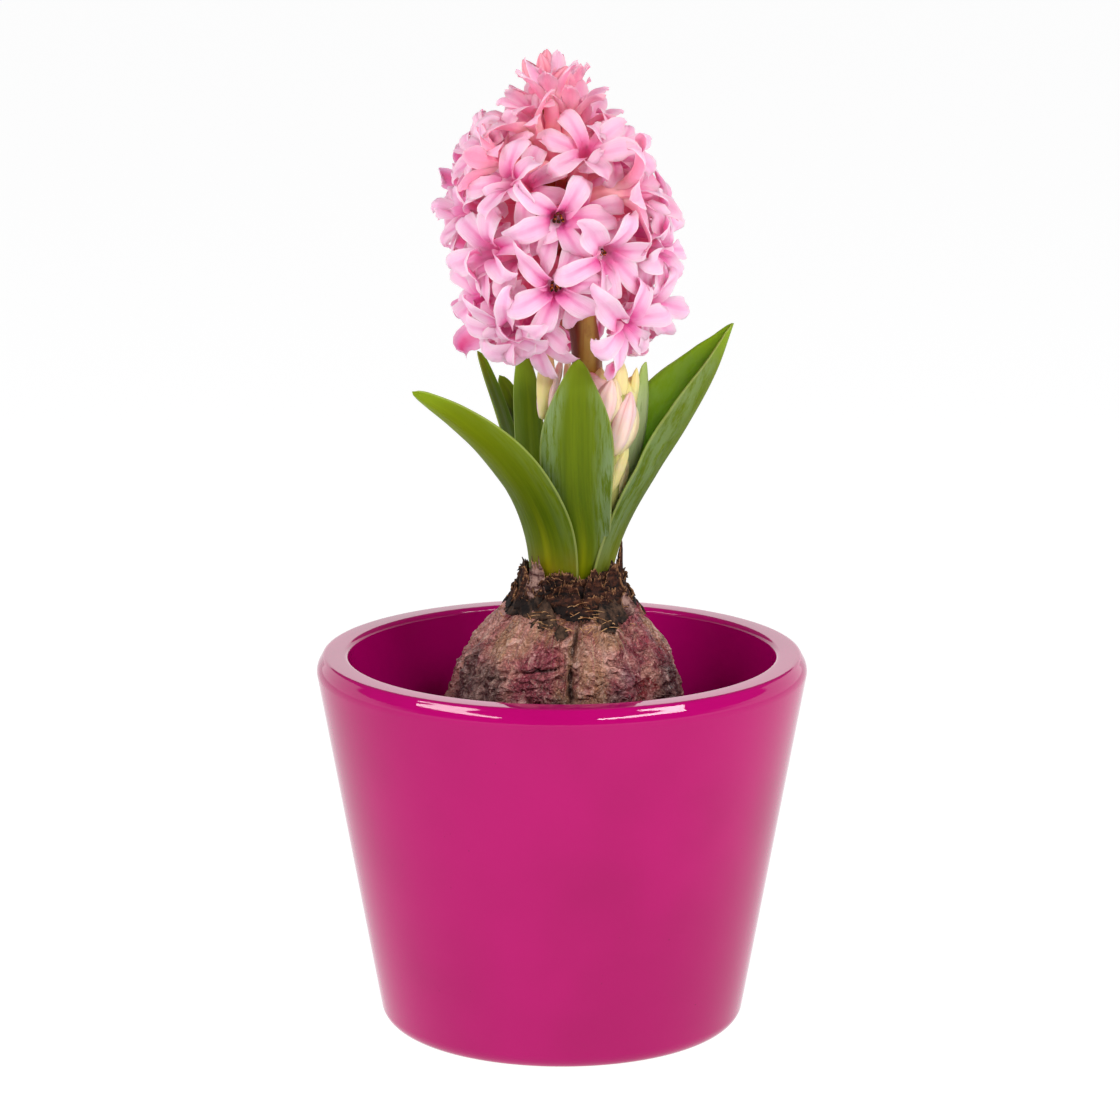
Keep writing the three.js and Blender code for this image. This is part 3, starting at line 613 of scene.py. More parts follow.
# The neck wears what is left of older scales: layers of dry, dark, ragged tips that stand round the leaves,
# torn flakes that have peeled over onto the bulb's shoulder, and tan fibres pulled out between them.
COLLAR_SURFACE = [
    (101, 22.4), (105, 19.2), (108, 16.9), (111, 15.1), (113, 14.1), (115, 13.2), (119, 12.7), (126, 13.4),
]
BROWN, PALE, CHARRED = 0, 2, 4
FLAKE_ROWS, FLAKE_COLUMN, FLAKE_THICKNESS = 11, 1.4, 0.55
SMALL_FLAKES, FIBRES = 80, 70
# Each layer of tips, from the inside out: how many, the height of foot and tip, how far off the neck
TIP_LAYERS = [(10, 112, 118.4, -0.9), (11, 111, 116.8, -0.2), (11, 110.4, 115, 0.3), (10, 109.8, 113.4, 0.5)]
# The flakes that stand out, first those at the left, in front and at the right, then those that lie on the
# shoulder, then the back: angle and width in degrees, the height of foot and tip, lift, curl, kind
LARGE_FLAKES = [
    (-154, 28, 108, 120.8, 0.4, 0.4, CHARRED), (-168, 18, 109, 115.5, 0.6, 0.4, BROWN),
    (-130, 30, 108.6, 121.8, 0.4, 0.5, PALE), (-143, 14, 110, 118.6, 1.0, 0.3, BROWN),
    (-40, 30, 109.5, 121.6, 0.2, 1.2, BROWN), (-22, 22, 110, 119, 0.1, 0.2, BROWN),
    (-14, 9, 112, 126.6, -0.2, 0.3, BROWN), (-66, 26, 110, 119.2, 0.5, 0.9, BROWN),
    (-92, 26, 109.8, 117.4, 0.9, 0.9, BROWN), (-84, 16, 112, 118.6, 0.2, 1.2, BROWN),
    (-121, 34, 108.6, 113.6, 1.3, 0.3, CHARRED), (-112, 24, 106.6, 110.6, 1.0, -0.2, CHARRED),
    (-52, 32, 107, 113.4, 1.3, -0.4, CHARRED), (-58, 18, 105.6, 108.6, 0.8, 0.3, CHARRED),
    (-119, 15, 105.4, 107.8, 0.6, 0.1, CHARRED), (-97, 11, 104.4, 107.4, 0.7, 0.1, CHARRED),
    (-84, 30, 108.4, 113, 0.9, 0.2, BROWN), (-30, 18, 108, 113.4, 0.9, 0.9, PALE),
    (30, 30, 104.5, 110, 1.0, 0.3, CHARRED), (95, 34, 104, 110, 1.1, 0.5, CHARRED),
    (150, 28, 104.6, 110.5, 1.0, 0.2, CHARRED), (60, 30, 108, 121, 0.4, 0.8, BROWN),
    (125, 34, 108, 122, 0.4, 0.6, PALE),
]


def torn_scale(at, wide, foot, tip, lift, curl, seed, kind=BROWN):
    """A strip of dry scale round the neck, from foot to tip in height, with a torn tip and buckled face."""
    tone = kind + (seed * 0.618) % 1 * 0.9
    columns, shares = max(int(wide / FLAKE_COLUMN), 5), [r / FLAKE_ROWS for r in range(FLAKE_ROWS + 1)]
    points, marks, faces = [], [], []
    for c in range(columns + 1):
        u = 2 * c / columns - 1
        angle = math.radians(at + wide / 2 * u)
        side = 1 - 0.75 * abs(u) ** 3
        tear = 1 + 0.3 * wobble(c * 0.9, seed, 1) + 0.08 * wobble(c * 2.7, seed, 5)
        top = foot + (tip - foot) * side * tear
        base = foot + 0.9 * wobble(c * 0.8, seed, 8) + 0.8 * abs(u) ** 3
        outer, inner = [], []
        for t in shares:
            z = base + (top - base) * t
            buckle = 0.9 * wobble(angle * 4, z * 0.35, seed) + curl * t**3
            buckle += 0.4 * wobble(angle * 14, z * 1.1, seed + 3)
            buckle += 0.35 * wobble(angle * 5, z * 1.9, seed + 6)
            radius = along(COLLAR_SURFACE, z) + lift + buckle
            for wall, r in ((outer, radius), (inner, radius - FLAKE_THICKNESS * (1 - 0.6 * t))):
                wall.append((NECK.x + r * math.cos(angle), r * math.sin(angle), z))
        points += outer + inner[::-1]
        marks += [(u, t, tone) for t in shares + [1 - t for t in shares]]
    size = 2 * len(shares)
    for c in range(columns):
        for i in range(size):
            a, b = c * size + i, c * size + (i + 1) % size
            faces.append([a, a + size, b + size, b])
    faces.append(list(range(size)))
    faces.append([columns * size + i for i in reversed(range(size))])
    return points, faces, marks


def merged(parts):
    """Several lots of (points, faces, marks) as one."""
    points, faces, marks = [], [], []
    for some_points, some_faces, some_marks in parts:
        start = len(points)
        points += some_points
        marks += some_marks
        faces += [[start + i for i in face] for face in some_faces]
    return points, faces, marks


draw = random.Random(21)
scales = []
for layer, (count, foot, tip, lift) in enumerate(TIP_LAYERS):
    for i in range(count):
        at = 360 / count * (i + draw.uniform(-0.25, 0.25)) + 13 * layer
        higher, wide, up = draw.uniform(-2.2, 1.8), draw.uniform(36, 54), draw.uniform(-0.7, 0.7)
        off, curl = lift + draw.uniform(-0.2, 0.3), draw.uniform(-0.3, 0.9)
        scales.append(torn_scale(at, wide, foot + up, tip + higher, off, curl, 10 * layer + i))
for i in range(SMALL_FLAKES):
    foot = draw.uniform(109.5, 117)
    at, wide, tip = draw.uniform(-180, 180), draw.uniform(8, 20), foot + draw.uniform(1.4, 3.4)
    scales.append(torn_scale(at, wide, foot, tip, draw.uniform(0.1, 0.9), draw.uniform(-0.6, 0.9), 50 + i))
for at, wide, foot, tip, lift, curl, kind in LARGE_FLAKES:
    scales.append(torn_scale(at, wide, foot, tip, lift, curl, 500 + 100 * kind + at * 0.37, kind))
points, faces, marks = merged(scales)

dry, place, over = new_finish("dry_scales", Specular_IOR_Level=0.3)
up, which = place.own("scale").parts()[1:]
pale, burnt = which.rise(1.4, 1.6) * which.rise(3.6, 3.4), which.rise(3.4, 3.6)
tone = which.maths("MODULO", 2.0)
grit = place.speckle(700, 6, 0.7)
layers = place.stretched(1, 1, 3.2).speckle(240, 4, 0.6)
torn = place.stretched(1, 1, 0.25).speckle(520, 4, 0.65)
bark = layered(
    grit.rise(0.3, 0.7).between(paint(26, 12, 9), paint(116, 64, 44)),
    (layers.rise(0.53, 0.6) * grit.rise(0.35, 0.5) * 0.8, (132, 80, 52)),
    (tone.rise(0.35, 0.85) * 0.6, (146, 88, 60)),
    (tone.rise(0.5, 0.1) * 0.5, (34, 14, 10)),
    # Painted shade in the gaps between the layered scales
    (layers.rise(0.45, 0.38) * 0.9, (14, 7, 6)),
)
papery = (layers.rise(0.4, 0.58) * grit.rise(0.3, 0.55)).between(paint(84, 48, 46), paint(184, 146, 134))
charred = torn.rise(0.36, 0.66).between(paint(20, 13, 11), paint(96, 70, 54))
shaded = up.rise(0.7, 0.2) * which.rise(1.6, 1.4) * 0.9
# Paler torn tips: partly the scales' own frayed colour, partly a painted highlight
edge = up.rise(0.86, 1.0) * grit.rise(0.46, 0.58) * which.rise(3.6, 3.4)
over(
    Base_Color=layered(
        bark, (pale, papery), (burnt, charred), (shaded, (14, 7, 6)), (edge * 0.8, (196, 142, 98))
    ),
    Roughness=0.7 + grit * 0.25,
    Normal=bumped(layers + grit * 0.6 + torn * 0.4, 0.0009),
)
collar = shaped("scale_collar", points, faces, {"scale": marks}, dry)
stood("scale_collar", collar, "dry_scales", "scale_collar")

placed, add = new_tree("placed_copies", {"Kinds": "Collection", "Material": "Material"})
given = add("NodeGroupInput", {}).outputs


def named(label, kind):
    node = add("GeometryNodeInputNamedAttribute", {"Name": label}, data_type=kind)
    return next(out for out in node.outputs if out.enabled)


copies = copied(add, given, {
    "Points": given["Geometry"],
    "Instance Index": named("kind", "INT"),
    "Rotation": add("FunctionNodeEulerToRotation", {0: named("turn", "FLOAT_VECTOR")}).outputs[0],
    "Scale": named("size", "FLOAT_VECTOR"),
})
dressed(add, given, copies)


def copies_at(name, kinds, spots, material):
    """One mesh of copies: a spot is a place in mm, a facing matrix, a size each way, a kind and a tone."""
    places, turns, sizes, picks, tones = zip(*spots)
    mesh = bpy.data.meshes.new(name)
    mesh.from_pydata([Vector(place) * MM for place in places], [], [])
    for label, kind, member, values in (
        ("turn", "FLOAT_VECTOR", "vector", [part for turn in turns for part in turn.to_euler()]),
        ("size", "FLOAT_VECTOR", "vector", [part for size in sizes for part in size]),
        ("kind", "INT", "value", picks),
        ("tone", "FLOAT", "value", tones),
    ):
        mesh.attributes.new(label, kind, "POINT").data.foreach_set(member, values)
    result = grown(mesh, placed, {"Kinds": collected(name, kinds), "Material": material})
    result.name = name
    return result


def facing(direction, roll=0.0):
    """The turn that points a copy's Z axis along direction, with its X axis level, then rolls it."""
    ahead = Vector(direction).normalized()
    side = Vector((0, 0, 1)).cross(ahead)
    side = side.normalized() if side.length > 1e-4 else Vector((1, 0, 0))
    basis = Matrix((side, ahead.cross(side), ahead)).transposed()
    return basis @ Matrix.Rotation(roll, 3, "Z")


fibre_finish, place, over = new_finish("tan_fibre", Specular_IOR_Level=0.3, Roughness=0.7)
over(Base_Color=place.speckle(500, 2).rise(0.4, 0.6).between(paint(140, 88, 50), paint(232, 180, 126)))
fibres = []
for number in range(4):
    rings = [[(0, 0, -0.05)]]
    for i in range(7):
        t = i / 6
        bend = Vector((0.9 * t * t * (number - 1.5), 0.5 * math.sin(2.4 * t + number), 5 * t))
        r = 0.14 * (1 - 0.7 * t)
        rings.append([bend + Vector((r * math.cos(a), r * math.sin(a), 0)) for a in (0, 2.1, 4.2)])
    rings.append([rings[-1][0] + Vector((0, 0, 0.1))])
    fibres.append(shaped("fibre", *skin(rings), {}, fibre_finish))
draw = random.Random(5)
spots = []
for i in range(FIBRES):
    angle = draw.uniform(0, math.tau) if i % 2 else math.radians(draw.gauss(-88, 22))
    z = draw.uniform(106, 111.4)
    radius = along(COLLAR_SURFACE, z) + draw.uniform(0.5, 1.5)
    out = Vector((math.cos(angle), math.sin(angle), 0))
    lie = Vector((-out.y, out.x, 0)) * draw.choice((-1, 1)) + out * draw.uniform(-0.12, 0.12)
    length = draw.uniform(0.4, 1.0)
    lie.z += draw.uniform(-0.6, 0.5)
    spots.append((NECK + out * radius + Vector((0, 0, z)), facing(lie), (1, 1, length), i % 4, 0))
stood("dry_fibres", copies_at("dry_fibres", fibres, spots, fibre_finish), "dry_scales")


# The leaves are thick, smooth and channelled, each a single strap with a blunt hooded tip. They come up
# round the flower stalks and arch out, yellow-green at the foot, with fine lengthwise veins.
OUTER_RING, INNER_RING, LEAF_FOOT = 10.3, 8.3, 101.35
LEAF_THICKNESS, LEAF_EDGE, LEAF_TAPER, LEAF_THINNEST = 1.5, 0.7, 0.45, 0.5
LEAF_ROWS, LEAF_COLUMNS, BLUNT_FROM = 84, 20, 0.955


def foot(ring, angle, z=LEAF_FOOT):
    turn = math.radians(angle)
    return (NECK.x + ring * math.cos(turn), ring * math.sin(turn), z)


def outward(angle):
    return (math.cos(math.radians(angle)), math.sin(math.radians(angle)), 0)


def curve_through(places, count):
    """Evenly spaced points on a centripetal curve through the places, with the direction at each."""
    at = [Vector(p) for p in places]
    at = [2 * at[0] - at[1], *at, 2 * at[-1] - at[-2]]
    fine = []
    for a, b, c, d in zip(at, at[1:], at[2:], at[3:]):
        ab, bc, cd = math.sqrt((b - a).length), math.sqrt((c - b).length), math.sqrt((d - c).length)
        start = ((b - a) / ab - (c - a) / (ab + bc) + (c - b) / bc) * bc
        end = ((c - b) / bc - (d - b) / (bc + cd) + (d - c) / cd) * bc
        for i in range(40):
            t = i / 40
            bend = (2 * b - 2 * c + start + end) * t**3 + (3 * c - 3 * b - 2 * start - end) * t**2
            fine.append(bend + start * t + b)
    fine.append(at[-2])
    reach = [0.0]
    for a, b in zip(fine, fine[1:]):
        reach.append(reach[-1] + (b - a).length)
    result, i = [], 0
    for k in range(count + 1):
        goal = reach[-1] * k / count
        while i < len(fine) - 2 and reach[i + 1] < goal:
            i += 1
        share = (goal - reach[i]) / (reach[i + 1] - reach[i])
        result.append((fine[i].lerp(fine[i + 1], share), (fine[i + 1] - fine[i]).normalized()))
    return result, reach[-1]


def eased(pairs, at):
    """A value off a list of pairs, rounded over its corners."""
    return sum(along(pairs, min(max(at + step, 0), 1)) for step in (-0.05, -0.025, 0, 0.025, 0.05)) / 5


def blade(leaf, seed):
    """A leaf's rings from foot to tip, with (across, along, inner) and its place in metres for each point.

    Its flare opens the half that lies at its left further, from its middle up."""
    spine, length = curve_through(leaf["path"], LEAF_ROWS)
    looks = [Vector(way).normalized() for way in leaf["back"]]
    columns = [2 * c / LEAF_COLUMNS - 1 for c in range(LEAF_COLUMNS + 1)]
    rings, marks, grain = [[spine[0][0]]], [(0, 0, 0)], [(0, 0, 0)]
    for row, (centre, ahead) in enumerate(spine):
        t = row / LEAF_ROWS
        towards = looks[0].lerp(looks[1], t * 2) if t < 0.5 else looks[1].lerp(looks[2], t * 2 - 1)
        face = (towards - ahead * towards.dot(ahead)).normalized()
        across = ahead.cross(face)
        blunt = math.sqrt(max(1 - max((t - BLUNT_FROM) / (1 - BLUNT_FROM), 0) ** 2, 0.0))
        half = eased(leaf["width"], t) * max(blunt, 0.12)
        depth = eased(leaf["fold"], t) * max(blunt, 0.3)
        rings.append([])
        # Across the inner face, round one edge, back across the outer face and round the other edge
        edge = 0.24 * blunt
        loop = [(u, 1, 0) for u in reversed(columns)] + [(-1, 0.5, -edge)]
        loop += [(u, 0, 0) for u in columns] + [(1, 0.5, edge)]
        for u, inner, out in loop:
            thick = (LEAF_THICKNESS + (LEAF_EDGE - LEAF_THICKNESS) * abs(u)) * (1 - LEAF_TAPER * t)
            thick = max(thick, LEAF_THINNEST) * (0.35 + 0.65 * blunt)
            ripple = 0.22 * wobble(u * 1.4, t * 5, seed) + 0.12 * abs(u) * math.sin(t * 13 + seed)
            rib = 0.16 * bell(u / 0.09) * (1 - t) * (1 if inner else -1)
            flare = leaf.get("flare", 0) if u > 0 else 0
            opened = 1 + flare * step_up(t, 0.35, 0.55) * (1 - step_up(t, 0.9, 1))
            drop = -depth * u * u * opened + ripple - thick * inner + rib * (0 if abs(u) > 0.5 else 1)
            rings[-1].append(centre + across * (half * u + out) + face * drop)
            marks.append((u, t, inner))
            grain.append((half * u * MM, t * length * MM, seed * MM * 40))
    rings.append([spine[-1][0] + spine[-1][1] * 0.15])
    marks.append((0, 1, 0))
    grain.append((0, length * MM, seed * MM * 40))
    return rings, marks, grain


# Each leaf: its path from foot to tip, half its width and the depth of its fold at shares of its length, the
# way its back looks at foot, middle and tip, and its tint (yellow glow; waxy bloom, where a value below 0
# paints the leaf dark as painted shade and one above 1.2 paints it pale, partly wax and partly painted light;
# brown blush at the foot)
LEAVES = {
    "leaf_left": dict(
        path=[foot(OUTER_RING, -124), foot(OUTER_RING + 0.2, -121, 114), (-4.4, -11, 128), (-8.6, -15, 140),
              (-16.2, -20, 151.5), (-26, -25, 161), (-36.6, -29, 168.6)],
        width=[(0, 6.3), (0.15, 6.7), (0.35, 7.6), (0.6, 7.2), (0.8, 5.2), (0.93, 3), (1, 1.1)],
        fold=[(0, 2.2), (0.3, 2.2), (0.6, 1.7), (1, 0.4)],
        back=[outward(-118), (-0.55, -0.8, -0.3), (-0.35, -0.8, -0.5)], tint=(0.7, 0.2, 1.0),
    ),
    "leaf_front": dict(
        path=[foot(INNER_RING, -74), foot(INNER_RING + 0.2, -74, 113), (5.4, -11.2, 126), (4.2, -14.6, 139),
              (3.8, -16.6, 151), (3.8, -16.6, 164), (4.1, -15, 174.4)],
        width=[(0, 4.4), (0.2, 4.9), (0.4, 7.4), (0.6, 8.9), (0.7, 9.2), (0.78, 8.4), (0.86, 6.3),
               (0.92, 4.1), (0.97, 2.1), (1, 0.9)],
        fold=[(0, 1.2), (0.3, 1.7), (0.6, 2.2), (0.85, 1.4), (1, 0.3)],
        back=[outward(-74), (0.06, -1, -0.1), (0.02, -1, 0.1)], tint=(0.25, 1.0, 0.15),
    ),
    "leaf_right": dict(
        path=[foot(OUTER_RING, -30), foot(OUTER_RING + 0.6, -28, 114), (16.2, -4, 129), (23.8, -2, 143),
              (32, 0, 155.6), (39, 1.5, 169), (43.2, 2.5, 180.6)],
        width=[(0, 5.2), (0.2, 5.6), (0.45, 5.8), (0.75, 5), (0.92, 2.8), (1, 0.9)],
        fold=[(0, 1.6), (0.18, 3.2), (0.32, 4.8), (0.46, 7.2), (0.6, 8.8), (0.76, 7.6), (0.92, 3.4),
              (1, 0.5)],
        back=[outward(-30), (0.78, 0.28, -0.5), (0.84, 0.24, -0.4)], flare=0.65, tint=(0.3, 0.8, 0.1),
    ),
    "leaf_right_upright": dict(
        path=[foot(INNER_RING, 32), foot(INNER_RING + 0.6, 28, 113), (13, 0.6, 127), (17, -1.4, 140),
              (19.8, -2, 152), (20.9, -2, 162), (21.2, -1.6, 171.5)],
        width=[(0, 3.3), (0.3, 3.7), (0.65, 3.2), (0.9, 2.2), (1, 1)],
        fold=[(0, 0.8), (0.5, 1.4), (1, 0.4)],
        back=[outward(32), (0.78, -0.62, -0.2), (0.78, -0.62, -0.1)], tint=(0.0, 1.6, 0.0),
    ),
    "leaf_left_back": dict(
        path=[foot(OUTER_RING, 150), foot(OUTER_RING + 0.4, 151, 113), (-8.6, 5.8, 128), (-12, 8, 142),
              (-16, 10, 156), (-19.6, 11, 166.3), (-21.6, 12, 172)],
        width=[(0, 3.7), (0.3, 4), (0.65, 3.6), (0.9, 2.2), (1, 0.9)],
        fold=[(0, 0.9), (0.5, 1.6), (1, 0.4)],
        back=[outward(150), (-0.85, 0.35, -0.4), (-0.7, 0.6, -0.4)], tint=(0.0, 0.3, 0.0),
    ),
    "leaf_left_middle": dict(
        path=[foot(INNER_RING, -162), foot(INNER_RING, -162, 114), (-5, -3.2, 127), (-7, -2.8, 140),
              (-8.4, -2.2, 152), (-9.1, -1.6, 162), (-10, -1, 173.5)],
        width=[(0, 3), (0.3, 3.4), (0.6, 4.3), (0.88, 3.4), (1, 1.4)],
        fold=[(0, 0.9), (0.5, 0.8), (1, 0.3)],
        back=[outward(-162), (-0.45, -0.88, 0), (-0.3, -0.95, 0)], tint=(0.1, 0.1, 0.2),
    ),
    "leaf_back": dict(
        path=[foot(OUTER_RING, 96), foot(OUTER_RING + 0.2, 96, 113), (-1.5, 13.4, 128), (-6.6, 15.4, 143),
              (-12, 16.5, 156), (-16, 17, 165)],
        width=[(0, 4.4), (0.3, 5), (0.65, 5), (0.9, 2.8), (1, 1)],
        fold=[(0, 1.1), (0.5, 1.8), (1, 0.4)],
        back=[outward(96), (-0.5, 0.85, -0.2), (-0.5, 0.85, -0.2)], tint=(0.0, -1.0, 0.3),
    ),
}

leaf_green, place, over = new_finish(
    "leaf_green", Specular_IOR_Level=0.12,
    Subsurface_Weight=0.15, Subsurface_Scale=0.002, Subsurface_Radius=(0.5, 1.0, 0.1),
)
across, up, inner = place.own("blade").parts()
glow, bloom_and_shade, blush = place.own("tint").parts()
lengthwise = place.own("grain")
vein = lengthwise.stretched(1, 0.03, 1).speckle(1500, 3, 0.6)
broad = lengthwise.stretched(1, 0.04, 1).speckle(460, 3)
dash = lengthwise.stretched(1, 0.1, 1).speckle(1100, 4, 0.7)
cloud = lengthwise.stretched(1, 0.35, 1).speckle(90, 3)
side = across.size()
waxy = side.rise(0.3, 0.85) * (cloud.rise(0.32, 0.6) * 0.55 + 0.35) * dash.rise(0.36, 0.58)
over(
    Base_Color=layered(
        broad.rise(0.35, 0.65).between(paint(74, 95, 2), paint(86, 105, 2)),
        (vein.rise(0.42, 0.62) * 0.22, (42, 62, 3)),
        (bloom_and_shade * waxy * up.rise(0.1, 0.4) * up.rise(0.97, 0.85), (124, 146, 108)),
        (glow * up.rise(0.3, 0.95) * 0.8, (146, 162, 4)),
        (inner * up.rise(0.2, 0.5) * 0.6, (100, 136, 8)),
        # Pale wax over the whole of a leaf with a tint above 1.2: partly its bloom, partly painted light
        # lifting a leaf that sits in shade
        (bloom_and_shade.rise(1.2, 1.6) * dash.rise(0.25, 0.45) * 0.85, (184, 198, 142)),
        # Painted shade: a leaf with a tint below 0 is darkened all over, as if it lay in shadow
        (bloom_and_shade.rise(-0.2, -1.0) * dash.rise(0.3, 0.6) * 0.8, (30, 46, 14)),
        (up.rise(0.42, 0.05) * (0.45 + 0.55 * side.rise(0.8, 0.1)) * 0.8, (142, 142, 2)),
        (side.rise(0.22, 0.0) * up.rise(0.55, 0.1) * 0.6, (158, 160, 4)),
        (blush * up.rise(0.32, 0.1) * cloud.rise(0.4, 0.6) * 0.6, (150, 88, 24)),
        # Painted light on the tips, which lie in the flower head's shadow
        (up.rise(0.84, 0.98) * 0.45, (150, 180, 34)),
        (side.rise(0.97, 0.995) * 0.45, (160, 168, 96)),
    ),
    Roughness=0.36 + vein * 0.12 + bloom_and_shade * 0.06,
    Normal=bumped(vein + broad * 0.2 + dash * 0.4, 0.00012, 0.8),
)
for seed, (name, leaf) in enumerate(LEAVES.items(), 1):
    rings, marks, grain = blade(leaf, seed)
    marks = {"blade": marks, "grain": grain, "tint": [leaf["tint"]] * len(marks)}
    stood(name, shaped(name, *skin(rings), marks, leaf_green), "leaf_green", name)


# The flower stalk is fleshy and round. It bows to the right above the neck, leans back under the weight of
# the head and runs up through it, red-brown where the florets join and peach to green lower down; across it,
# its left and right sides are painted dark as shade and the middle peach-cream as light.
STALK_PATH = [
    (101, 2.4, 0.5), (130, 4.4, 1.5), (150, 6, 2), (165, 6.6, 2), (176, 6, 1.5), (187, 3.8, 0.8),
    (198, 1.4, 0), (216, -2.2, 0), (240, -3.6, 0), (250, -4, 0),
]
STALK_RADIUS = [(101, 4.2), (150, 3.9), (190, 3.7), (243, 2.1)]
STALK_FOOT, STALK_TOP, STALK_ROWS, STALK_SIDES = 101.4, 242, 140, 36


def path_at(path, z):
    """The place at a height on a path of (height, x, y)."""
    return Vector([along([(p[0], p[axis]) for p in path], z) for axis in (1, 2)] + [z])


rings = [[path_at(STALK_PATH, STALK_FOOT)]]
for i in range(STALK_ROWS + 1):
    z = STALK_FOOT + (STALK_TOP - STALK_FOOT) * i / STALK_ROWS
    centre = sum((path_at(STALK_PATH, z + step) for step in (-3, -1.5, 0, 1.5, 3)), Vector()) / 5
    radius = along(STALK_RADIUS, z) * (1 + 0.03 * wobble(0, 0, z * 0.12))
    rings.append([])
    for k in range(STALK_SIDES):
        angle = math.tau * k / STALK_SIDES
        r = radius * (1 + 0.02 * math.cos(5 * angle + z * 0.03))
        rings[-1].append((centre.x + r * math.cos(angle), centre.y + r * math.sin(angle), z))
rings.append([path_at(STALK_PATH, STALK_TOP) + Vector((0, 0, 0.8))])

stalk_finish, place, over = new_finish(
    "stalk", Specular_IOR_Level=0.45, Subsurface_Weight=0.15, Subsurface_Scale=0.002,
    Subsurface_Radius=(1.0, 0.4, 0.15),
)
x, z = place.parts()[::2]
streak = place.stretched(1, 1, 0.06).speckle(900, 3)
mottle = place.speckle(260, 4)
over(
    Base_Color=layered(
        # Painted shade and light across the stalk: dark red-brown on its shaded left, peach-cream where it is
        # lit, and painted shadow darkening its right edge
        x.rise(0.0035, 0.006).between(paint(110, 40, 16), paint(196, 168, 74)),
        (x.rise(0.0075, 0.009) * 0.9, (132, 70, 28)),
        (z.rise(0.184, 0.194), (184, 88, 22)),
        (z.rise(0.212, 0.228) * mottle.rise(0.4, 0.6) * 0.7, (168, 120, 20)),
        (z.rise(0.15, 0.12) * 0.9, (160, 168, 70)),
        (streak.rise(0.45, 0.65) * 0.3, (150, 64, 26)),
        (mottle.rise(0.55, 0.75) * 0.3, (134, 60, 28)),
    ),
    Roughness=0.4 + mottle * 0.15,
    Normal=bumped(streak + mottle, 0.0002, 0.6),
)
stood("flower_stalk", shaped("flower_stalk", *skin(rings), {}, stalk_finish), "stalk", "flower_stalk")


# The head is a spiral of florets, eight to three turns of the stalk. Each has a waxy tube that opens into
# six lobes, three outer and three inner, whose tips curl right back; those near the top are still opening.
FACING_FLORET, FACING_HEIGHT, FLORET_PITCH, FLORET_COUNT = 15, 211.4, 2.05, 31
CROWDED_FROM, CROWDED_RISE, CROWDED_RATE = 8, 14, 7
TURN = math.radians(-135)
HEAD_CENTRE = [(172, 0), (200, -0.8), (216, -3), (240, -3.6)]
SPREAD = [(180, 20), (190, 23.5), (200, 25), (212, 24.6), (222, 21.5), (228, 17), (233, 10), (237, 6)]
TILT = [(180, -30), (190, -16), (200, -3), (211, 6), (222, 22), (228, 38), (233, 60), (237, 74)]
OPENING = [(180, 1), (224, 1), (229, 0.8), (233, 0.5), (237, 0.34)]
REACH = [(180, 16), (222, 16), (230, 14), (237, 11)]
THROAT_RADIUS, LOBE_LENGTH, INNER_SHARE, LOBE_START = 2.3, 16, 0.95, math.radians(10)
LOBE_WIDTH = [
    (0, 1.5), (0.12, 1.65), (0.3, 2.3), (0.48, 2.9), (0.62, 3.1), (0.76, 2.75), (0.87, 1.9), (0.95, 0.95),
    (1, 0.25),
]
TUBE = [(1.1, -14.9), (2.3, -13.8), (2.75, -11.6), (2.5, -8.6), (2.2, -6), (2.3, -3.2), (2.55, -1.2)]
THROAT = [(1.8, -1.4), (1.5, -3.6), (1.1, -5.6)]
TUBE_LENGTH, TUBE_END, THROAT_END = 15, -15.2, -6
LOBE_ROWS, LOBE_COLUMNS, FINE_STEPS = 15, 6, 6
# The kinds: how far each is open, from those in full bloom to the funnels near the top
OPENINGS = [1.04, 0.96, 1.1, 0.92, 1.0, 1.06, 0.98, 0.88, 1.02, 0.94, 0.72, 0.6, 0.46, 0.34, 0.24, 0.16]
OPEN_KINDS = 10
INNER_FLORETS, INNER_DEPTH, INNER_SIZE = 23, 0.8, 0.86
STEM_END, INNER_STEM_END, STEM_SIDES, STEM_STEPS = 13.5, 11.6, 12, 7
CREASE_ANGLE = math.radians(55)
